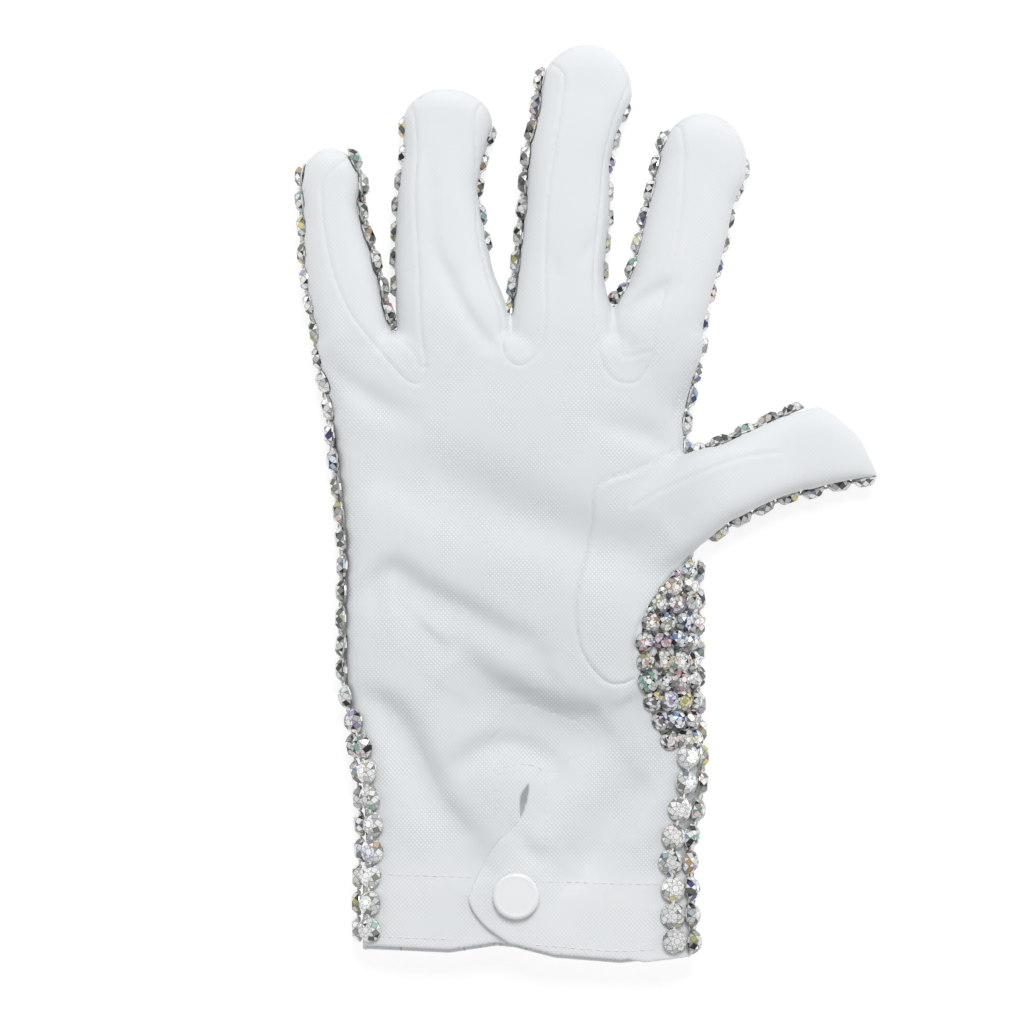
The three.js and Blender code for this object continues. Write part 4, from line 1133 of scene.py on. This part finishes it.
def spaced(frames):
    """Stones at even steps along a line of frames."""
    stones, walked = [], 0.0
    for a, b in zip(frames, frames[1:]):
        step = b["place"] - a["place"]
        run = np.linalg.norm(step)
        while len(stones) * STONE_PITCH <= walked + run:
            t = (len(stones) * STONE_PITCH - walked) / run
            normal = unit(a["normal"] * (1 - t) + b["normal"] * t)
            stones.append({"place": a["place"] + step * t, "normal": normal, "along": step / run})
        walked += run
    return stones


def along_row(stones):
    """Turns each stone's normal square to its row."""
    out = []
    for i, stone in enumerate(stones):
        a, b = stones[max(i - 1, 0)]["place"], stones[min(i + 1, len(stones) - 1)]["place"]
        along = stone["along"] if "along" in stone else unit(b - a)
        normal = unit(stone["normal"] - along * (stone["normal"] @ along))
        out.append({"place": stone["place"], "normal": normal, "along": along})
    return out


def seat(place, normal, towards, **more):
    """A stone by its place, its table's direction and about the direction of its row."""
    along = unit(towards - normal * (normal @ towards))
    return {"place": place, "normal": normal, "along": along, **more}


def sunk(stones, depth):
    """Moves stones into the cloth, which is dented round them."""
    for stone in stones:
        stone["place"] = stone["place"] - stone["normal"] * depth
        stone["sunk"] = depth
    return stones


def dented(points, stones, behind):
    """Pushes cloth back behind each stone's flat back."""
    points = points.copy()
    for stone in stones:
        d = points - stone["place"]
        near = np.flatnonzero(np.abs(d).max(1) < DENT_REACH)
        d = d[near]
        height = d @ stone["normal"]
        flat = np.linalg.norm(d - height[:, None] * stone["normal"], axis=1)
        radius = STONE_RADIUS * stone.get("size", 1.0)
        share = 1 - smoothstep(flat, radius - DENT_WITHIN, radius + DENT_ROUND)
        share *= height < stone["sunk"] + DENT_ABOVE
        points[near] -= (np.maximum(height + behind, 0) * share)[:, None] * stone["normal"]
    return points


def from_above(skin, x, y):
    """Where a line straight down meets the skin, and the skin's normal there, or nothing."""
    hit, normal, _, _ = skin.ray_cast(Vector((x, y, HIGH_ABOVE)), Vector((0, 0, -1)))
    return (np.array(hit), np.array(normal)) if hit else None


def patch_rows(skin):
    """The smaller stones that lie close together under the thumb, in rows, and their fillers."""
    rows = []
    for y, places in PATCH:
        row = []
        for x in places:
            met = from_above(skin, x, y)
            if met:
                normal = unit(met[1] + (0, 0, PATCH_UP))
                size = PATCH_SIZE * rng.uniform(*PATCH_SIZES)
                place = met[0] + normal * PATCH_LIFT
                row.append(seat(place, normal, DOWN_THE_HAND, size=size, sunk=STONE_GAP))
        rows.append(row)
    fillers = []
    for (x, y), (next_x, next_y) in zip(THUMB_UNDER, THUMB_UNDER[1:]):
        met = from_above(skin, x, y)
        if met:
            ahead = unit(np.array([next_x - x, next_y - y, 0.0]))
            normal = unit(met[1] + THUMB_UNDER_TURN * np.array([-ahead[1], ahead[0], 0]))
            fillers.append(seat(met[0] - normal * PATCH_LIFT, normal, ahead, size=THUMB_UNDER_SIZE))
    for upper, lower in zip(rows, rows[1:]):
        for a in upper:
            for b in lower:
                if np.linalg.norm(a["place"] - b["place"]) < FILLER_NEAR:
                    normal = unit(a["normal"] + b["normal"])
                    place = (a["place"] + b["place"]) / 2 - normal * FILLER_DEPTH
                    fillers.append(seat(place, normal, a["along"],
                                        size=FILLER_SIZE, shade=FILLER_PAINTED_SHADE))
    return rows, fillers


def between(frames, axis, low, high):
    """The frames whose place lies between two values along an axis."""
    return [f for f in frames if low < f["place"][axis] < high]


def climb(y, table):
    """A column's length of arc at a place along the hand."""
    k = next(i for i, row in enumerate(table) if row[0] <= y)
    (ay, a), (by, b) = table[k - 1], table[k]
    return a + (b - a) * (y - ay) / (by - ay)


def left_edge():
    """The column down the little finger and the hand's left side, and a second one at the cuff."""
    frames = between(finger_frames(FINGERS["little"], -1, EDGE_ARC), 1, 45, 86.6)
    frames += [side_frame(palm_section(y), -1, climb(y, LEFT_CLIMB))
               for y in range(HAND_TOP_LEFT, LOWEST_STONE - 3, -2)]
    edge = [s for s in along_row(spaced(frames)) if s["place"][1] > LOWEST_STONE]
    for s in edge:
        sunk([s], LEFT_SINK * smoothstep(s["place"][1], *LEFT_SINK_GROWS))
    places = [s["place"][1] for s in edge if climb(s["place"][1], LEFT_CLIMB) > SECOND_COLUMN_ARC]
    second = [side_frame(palm_section(y), -1, climb(y, LEFT_CLIMB) - CORNER_PITCH) for y in places]
    return [edge, along_row(second)]


def right_edge():
    """The columns down the hand's right side. All but the first begin below the patch."""
    rows = []
    y = HAND_TOP_RIGHT
    while y > LOWEST_STONE:
        rows.append(y)
        y -= STONE_PITCH
    patch_end = PATCH[-1][0]
    visible = [*thumb_edge, (60, -14), (60, -130), *wrap_right[::-1]]
    columns = []
    for c in range(STONE_COLUMNS_RIGHT):
        frames = []
        for y in rows:
            shift = c * STONE_PITCH or CORNER_LIFT * (y < patch_end)
            frames.append(side_frame(palm_section(y), 1, climb(y, RIGHT_CLIMB) + shift))
        column = along_row(frames)
        if c:
            column = [s for s, y in zip(column, rows)
                      if y < patch_end - 3 and inside(np.array([[s["place"][0], y]]), visible)[0]]
        if column:
            columns.append(column)
    return columns


def stone_columns():
    """Name of each row or patch and its columns of stones, tip first."""
    out = {}
    for name, finger, side, axis, start, end in EDGE_ROWS:
        arc, sink = TUCKS[name]
        frames = between(finger_frames(FINGERS[finger], side, arc), "xy".index(axis), end, start)
        out[name] = [sunk(along_row(spaced(frames)), sink)]
    out["stones_left_edge"] = left_edge()
    arc, sink = TUCKS["stones_index_right"]
    frames = between(finger_frames(FINGERS["index"], 1, arc), 1, 50, 89)
    frames += [side_frame(palm_section(min(y, HAND_TOP_LEFT)), 1, arc) for y in range(44, 12, -2)]
    outer = along_row(spaced(frames))
    for s in outer:
        sunk([s], sink - INDEX_SINK_LESS * (1 - smoothstep(s["place"][1], *INDEX_SINK_GROWS)))
    out["stones_index_right"] = [outer]
    out["stones_right_edge"] = right_edge()
    return out


def flat_field():
    """The stones under the glove, tables down, in columns down each finger and down the hand."""
    down = np.array([0.0, 0.0, -1.0])
    field = []
    for name, finger in FINGERS.items():
        cuts = finger_sections(finger, CLOTH, np.sin(np.linspace(0, 1.45, 8)), STATION_STEPS)
        centre = np.array([(c["x"], c["y"]) for c in cuts])
        half = np.array([c["half"] for c in cuts])[:, None]
        h = np.array([c["heading"] for c in cuts])
        right = np.stack([h[:, 1], -h[:, 0]], 1)
        outline = np.vstack([centre + right * half, (centre - right * half)[::-1]])
        run = np.concatenate([[0], np.cumsum(np.hypot(*np.diff(centre, axis=0).T))])
        wide = 2 if name == "little" else 3
        for c in range(wide):
            shift = (c - (wide - 1) / 2) * STONE_PITCH * (1.0 if wide == 3 else 1.02)
            s = run[-1] - FIELD_TIP
            while s > 0:
                x, y = (np.interp(s, run, centre[:, k]) for k in range(2))
                hx, hy = (np.interp(s, run, h[:, k]) for k in range(2))
                p = np.array([x + hy * shift, y - hx * shift])
                on_finger = p[0] >= THUMB_ROOT if name == "thumb" else p[1] >= FIELD_FINGERS_FROM
                ahead = p + np.array([hx, hy]) * FIELD_AHEAD
                if on_finger and inside(ahead[None], outline)[0]:
                    field.append({"place": np.array([*p, STONE_HEIGHT]), "normal": down,
                                  "along": -np.array([hx, hy, 0.0])})
                s -= STONE_PITCH
    for x in FIELD_LEFT + np.arange(-1, 13) * STONE_PITCH:
        y = FIELD_TOP
        while y > LOWEST_STONE - 1:
            left, right = (np.interp(y, PALM[:, 0], PALM[:, k]) for k in (1, 2))
            if left + FIELD_MARGIN < x < right - FIELD_MARGIN and y - FIELD_MARGIN > cuff_y(x):
                field.append({"place": np.array([x, y, STONE_HEIGHT]), "normal": down,
                              "along": DOWN_THE_HAND})
            y -= STONE_PITCH
    return field


def under_stones(columns):
    """Smaller stones of the back that look out between the stones of an edge, turned down."""
    out = []
    for group in columns.values():
        for a, b in zip(group[0], group[0][1:]):
            if min(a["place"][2], b["place"][2]) < UNDER_ROOM:
                continue
            flat = np.append(unit((a["normal"] + b["normal"])[:2]), 0.0)
            place = (a["place"] + b["place"]) / 2 - flat * UNDER_INSET
            place[2] = UNDER_HEIGHT
            normal = flat * math.cos(UNDER_TURN) + np.array([0, 0, -math.sin(UNDER_TURN)])
            out.append(seat(place, normal, unit(b["place"] - a["place"]), size=UNDER_SIZE))
    return out


def web_stones():
    """Stones that show deep in the gaps between the fingers' roots."""
    normal = unit(np.array([0, 0.45, 1.0]))
    return [seat(np.array([x, y, z]), normal, DOWN_THE_HAND, size=size)
            for x, y, z, size in WEB_STONES]


# Stones: their shape

def outlined(a, b, c):
    """Corner values that fall to zero at a triangle's marked sides. Side a is opposite corner 0."""
    a, b, c = (0 if marked else 1 for marked in (a, b, c))
    return [(1, b, c), (a, 1, c), (a, b, 1)]


def stone_template():
    """Round cut stone about Z: points, triangles, their facets, facet kinds and corner values.

    The table is cut into a core and sixteen small facets, whose colours paint a pointed back seen
    through it.
    Round it are eight stars, eight kites, sixteen upper facets and the girdle."""
    radius, girdle, height = STONE_RADIUS, STONE_GIRDLE, STONE_HEIGHT
    table, core, middle = STONE_TABLE * radius, STONE_CORE * radius, STONE_MIDDLE * radius
    fall = (height - girdle) / (radius - table)
    middle_height = height - fall * (middle * math.cos(math.pi / 8) - table)

    def circle(r, z, sides, turn=0.0):
        angles = (np.arange(sides) + turn) * 2 * math.pi / sides
        return [(r * math.cos(a), r * math.sin(a), z) for a in angles]

    points = [(0, 0, height + CORE_RISE)]
    starts = []
    for ring in (
        (core, height + CORE_RISE, 8, 0.5), (table, height, 8), (middle, middle_height, 8, 0.5),
        (radius, girdle, 16), (radius, STONE_BEVEL, 16), (radius * STONE_BACK, 0, 16),
    ):
        starts.append(len(points))
        points += circle(*ring)
    o, t, m, g, low, back = starts
    triangles, facets, kinds, corners = [], [], [], []

    def facet(kind, *parts):
        for triangle, sides in parts:
            triangles.append(triangle)
            corners.extend(outlined(*sides))
            facets.append(len(kinds))
        kinds.append(kind)

    facet("core", *[((0, o + k, o + (k + 1) % 8), (1, 0, 0)) for k in range(8)])
    for k in range(8):
        n = (k + 1) % 8
        p = (k - 1) % 8
        a, b, c = g + 2 * k, g + (2 * k + 1) % 16, g + (2 * k + 2) % 16
        facet("inner", ((o + k, t + k, t + n), (1, 1, 1)))
        facet("inner", ((t + k, o + k, o + p), (1, 1, 1)))
        facet("star", ((t + k, m + k, t + n), (1, 1, 1)))
        facet("kite", ((t + k, m + p, a), (1, 0, 1)), ((t + k, a, m + k), (1, 1, 0)))
        facet("upper", ((m + k, a, b), (1, 1, 1)))
        facet("upper", ((m + k, b, c), (1, 1, 1)))
    for k in range(16):
        n = (k + 1) % 16
        for upper, lower in ((g, low), (low, back)):
            facet("girdle", ((upper + k, lower + k, lower + n), (0, 0, 0)),
                  ((upper + k, lower + n, upper + n), (0, 0, 0)))
    facet("back", *[((back, back + k + 1, back + k), (0, 0, 0)) for k in range(1, 15)])
    return np.array(points), np.array(triangles), np.array(facets), kinds, np.array(corners, float)


STONE_POINTS, STONE_TRIANGLES, STONE_FACETS, STONE_KINDS, STONE_CORNERS = stone_template()


def loosened(stone):
    """A stone a little off its place and tilted, as sewn by hand."""
    along, normal = stone["along"], stone["normal"]
    across = np.cross(along, normal)
    shift = np.clip(rng.normal(0, LOOSE_SHIFT, 2), -2 * LOOSE_SHIFT, 2 * LOOSE_SHIFT)
    tilt = np.clip(rng.normal(0, LOOSE_TILT, 2), -2 * LOOSE_TILT, 2 * LOOSE_TILT)
    place = stone["place"] + along * shift[0] + across * shift[1]
    return {**stone, **seat(place, unit(normal + along * tilt[0] + across * tilt[1]), along)}


def stones_mesh(name, stones, replaced):
    points, tints = [], []
    for stone in stones:
        along, normal = stone["along"], stone["normal"]
        across = np.cross(along, normal)
        turn = rng.uniform(0, math.pi / 4)
        u = math.cos(turn) * along + math.sin(turn) * across
        v = np.cross(normal, u)
        p = STONE_POINTS * stone.get("size", 1.0)
        points.append(stone["place"] + p[:, :1] * u + p[:, 1:2] * v + p[:, 2:] * normal)
        # Each facet's colour paints light and shade: painted highlights, painted shade and the
        # coat's painted reflections
        palette = GREYS + [HUES[k] for k in rng.choice(len(HUES), 2, replace=False)]
        # Face-up stones at the cuff get more white facets, as painted reflection of the light from
        # above
        clear = stone["place"][1] < FACE_UP_LIT_FROM and normal[2] > FACE_UP
        shares = FACE_UP_LIGHT_SHARE if clear else FACET_LIGHT_SHARE
        colours = np.array([palette[rng.choice(len(palette), p=shares[k])] for k in STONE_KINDS])
        colours = colours * rng.uniform(*FACET_SHADES, (len(colours), 1))
        colours = colours * rng.uniform(*STONE_SHADES)
        # Fillers are darkened: painted shade in the gaps between stones
        colours = np.clip(colours, 0, 1) * stone.get("shade", 1.0)
        colours = colours if clear else colours**TINT_DEPTH
        tints.append(np.repeat(colours[STONE_FACETS], 3, axis=0))
    count = len(stones)
    faces = STONE_TRIANGLES[None] + (np.arange(count) * len(STONE_POINTS))[:, None, None]
    made = add_mesh(name, np.vstack(points), faces.reshape(-1, 3), stone_look,
                    False, replaced)
    outlines = np.tile(STONE_CORNERS, (count, 1))
    for label, values in (("facet_light_and_shade", np.vstack(tints)), ("outline", outlines)):
        layer = made.data.color_attributes.new(label, "FLOAT_COLOR", "CORNER")
        layer.data.foreach_set("color", np.hstack([values, np.ones((len(values), 1))]).ravel())


def capsule(a, b, normal, radius, bend):
    """A short thread from a to b with rounded ends, raised by bend in its middle."""
    run = unit(b - a)
    across = unit(np.cross(run, normal))
    up = np.cross(across, run)
    points = []
    for t, wide in CAPSULE_SHAPE:
        middle = a + (b - a) * t + up * (bend * 4 * t * (1 - t))
        points += [middle + radius * wide * (across * math.cos(q) + up * math.sin(q))
                   for q in np.arange(CAPSULE_SIDES) * 2 * math.pi / CAPSULE_SIDES]
    faces = []
    last = (len(CAPSULE_SHAPE) - 1) * CAPSULE_SIDES
    for r in range(0, last, CAPSULE_SIDES):
        for k in range(CAPSULE_SIDES):
            n = (k + 1) % CAPSULE_SIDES
            faces.append((r + k, r + n, r + CAPSULE_SIDES + n, r + CAPSULE_SIDES + k))
    faces += [tuple(range(CAPSULE_SIDES - 1, -1, -1)), tuple(range(last, last + CAPSULE_SIDES))]
    return points, faces


def threads_mesh(name, capsules):
    points, faces = [], []
    for p, f in capsules:
        faces += [tuple(i + len(points) for i in face) for face in f]
        points += p
    add_mesh(name, np.array(points), faces, thread_look)


def skin_tree():
    return BVHTree.FromPolygons([tuple(p) for p in outer_points], outer_faces.tolist())


columns = stone_columns()
patch, fillers = patch_rows(skin_tree())
columns["stones_right_edge"] += patch
for name, group in columns.items():
    columns[name] = [[loosened(s) for s in column] for column in group]

# The cloth is dented round the stones that are sunk into it
sunk_stones = [s for group in columns.values() for column in group for s in column
               if s.get("sunk", 0) > DENT_FROM]
outer_points = dented(outer_points, sunk_stones, DENT_BEHIND)
inner_points = dented(inner_points, sunk_stones, DENT_BEHIND + DENT_WALL)
for i, name in enumerate(CLOTH_NODES):
    a, fa = keep_faces(outer_points, outer_faces, outer_piece == i)
    b, fb = keep_faces(inner_points, inner_faces, inner_piece == i)
    both = np.vstack([fa, fb + len(a)])
    made = add_mesh(name + "_cloth", np.vstack([a, b]), both, cloth_look, replaced=[name])
    made.data.materials.append(inside_glow_look)
    made.data.polygons.foreach_set("material_index", [0] * len(fa) + [1] * len(fb))

for name, group in columns.items():
    extra = fillers if name == "stones_right_edge" else []
    stones_mesh(name + "_cut", [s for column in group for s in column] + extra, [name])
stones_mesh("back_stones_cut", flat_field() + under_stones(columns) + web_stones(), ["back_stones"])

# The thread that holds each stone to the next one
links = []
for column in [column for group in columns.values() for column in group]:
    for a, b in zip(column, column[1:]):
        if np.linalg.norm(b["place"] - a["place"]) <= THREAD_REACH:
            run = unit(b["place"] - a["place"]) * THREAD_HALF
            middle = (a["place"] + b["place"]) / 2 + (a["normal"] + b["normal"]) / 2 * THREAD_HEIGHT
            ends = middle - run, middle + run
            links.append(capsule(*ends, a["normal"], THREAD_RADIUS, THREAD_BEND))
threads_mesh("stone_threads", links)

# Stitches at the hem and round the slit
skin = skin_tree()
stitches = []
for line in STITCH_LINES:
    curve = spline(line, 8)
    run = np.concatenate([[0], np.cumsum(np.hypot(*np.diff(curve, axis=0).T))])
    for s in np.arange(STITCH_PITCH / 2, run[-1], STITCH_PITCH):
        ends = []
        for t in (s - STITCH_LENGTH / 2, s + STITCH_LENGTH / 2):
            x, y = (np.interp(t, run, curve[:, k]) for k in range(2))
            ends.append(from_above(skin, x, y))
        if all(ends):
            (a, normal), (b, _) = ends
            stitches.append(capsule(a, b, normal, STITCH_RADIUS, STITCH_BEND))
threads_mesh("hem_stitches", stitches)

# Snap: a turned cap, and the post's material
radius, height, seat_height = SNAP["radius"], SNAP["height"], snap_low[2] / MM
points, faces = [], []
rows = len(SNAP_PROFILE)
for k in range(SNAP_SIDES):
    angle = 2 * math.pi * k / SNAP_SIDES
    points += [(SNAP["x"] + r * radius * math.cos(angle), SNAP["y"] + r * radius * math.sin(angle),
                seat_height + h * height) for r, h in SNAP_PROFILE]
    here, there = k * rows, (k + 1) % SNAP_SIDES * rows
    faces += [(here + i, there + i, there + i + 1, here + i + 1) for i in range(rows - 1)]
faces.append(tuple(k * rows for k in range(SNAP_SIDES - 1, -1, -1)))
faces.append(tuple(k * rows + rows - 1 for k in range(SNAP_SIDES)))
add_mesh("snap_cap_moulded", points, faces, snap_look, replaced=["snap_cap"])
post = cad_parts["snap_post"]
post.data.materials.clear()
post.data.materials.append(snap_look)

# Floor, light and camera
bpy.ops.mesh.primitive_plane_add(size=6, location=(0, 0, -0.0002))
floor = bpy.context.object
floor.name = "floor"
floor_look, _, floor_shader = material("floor_white", (0.3, 0.3, 0.3), 0.9)
floor_shader.inputs["Emission Color"].default_value = (1, 1, 1, 1)
floor_shader.inputs["Emission Strength"].default_value = FLOOR_GLOW
floor.data.materials.append(floor_look)
floor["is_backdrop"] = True

world = bpy.data.worlds.new("studio")
bpy.context.scene.world = world
world.use_nodes = True
world.node_tree.nodes["Background"].inputs["Color"].default_value = (1, 1, 1, 1)
world.node_tree.nodes["Background"].inputs["Strength"].default_value = SKY_STRENGTH

for name, place, size, power in LIGHTS:
    data = bpy.data.lights.new(name, "AREA")
    data.size = size
    data.energy = power
    light = bpy.data.objects.new(name, data)
    bpy.context.scene.collection.objects.link(light)
    light.location = place
    light.rotation_euler = (-Vector(place)).to_track_quat("-Z", "Y").to_euler()

camera_data = bpy.data.cameras.new("camera")
camera_data.lens = 300
camera_data.sensor_width = 36
camera_data.clip_end = 20
camera = bpy.data.objects.new("camera", camera_data)
bpy.context.scene.collection.objects.link(camera)
bpy.context.scene.camera = camera
distance = FRAME_WIDTH * camera_data.lens / camera_data.sensor_width
middle_x, middle_y = (middle * PIXEL + shift for middle, shift in zip(PHOTO_MIDDLE, SHIFT))
camera.location = (middle_x * MM, middle_y * MM, distance + WIDEST * MM)
camera.rotation_euler = (0, 0, 0)
view = bpy.context.scene.view_settings
view.view_transform = "Standard"
view.look = "None"

low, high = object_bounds()
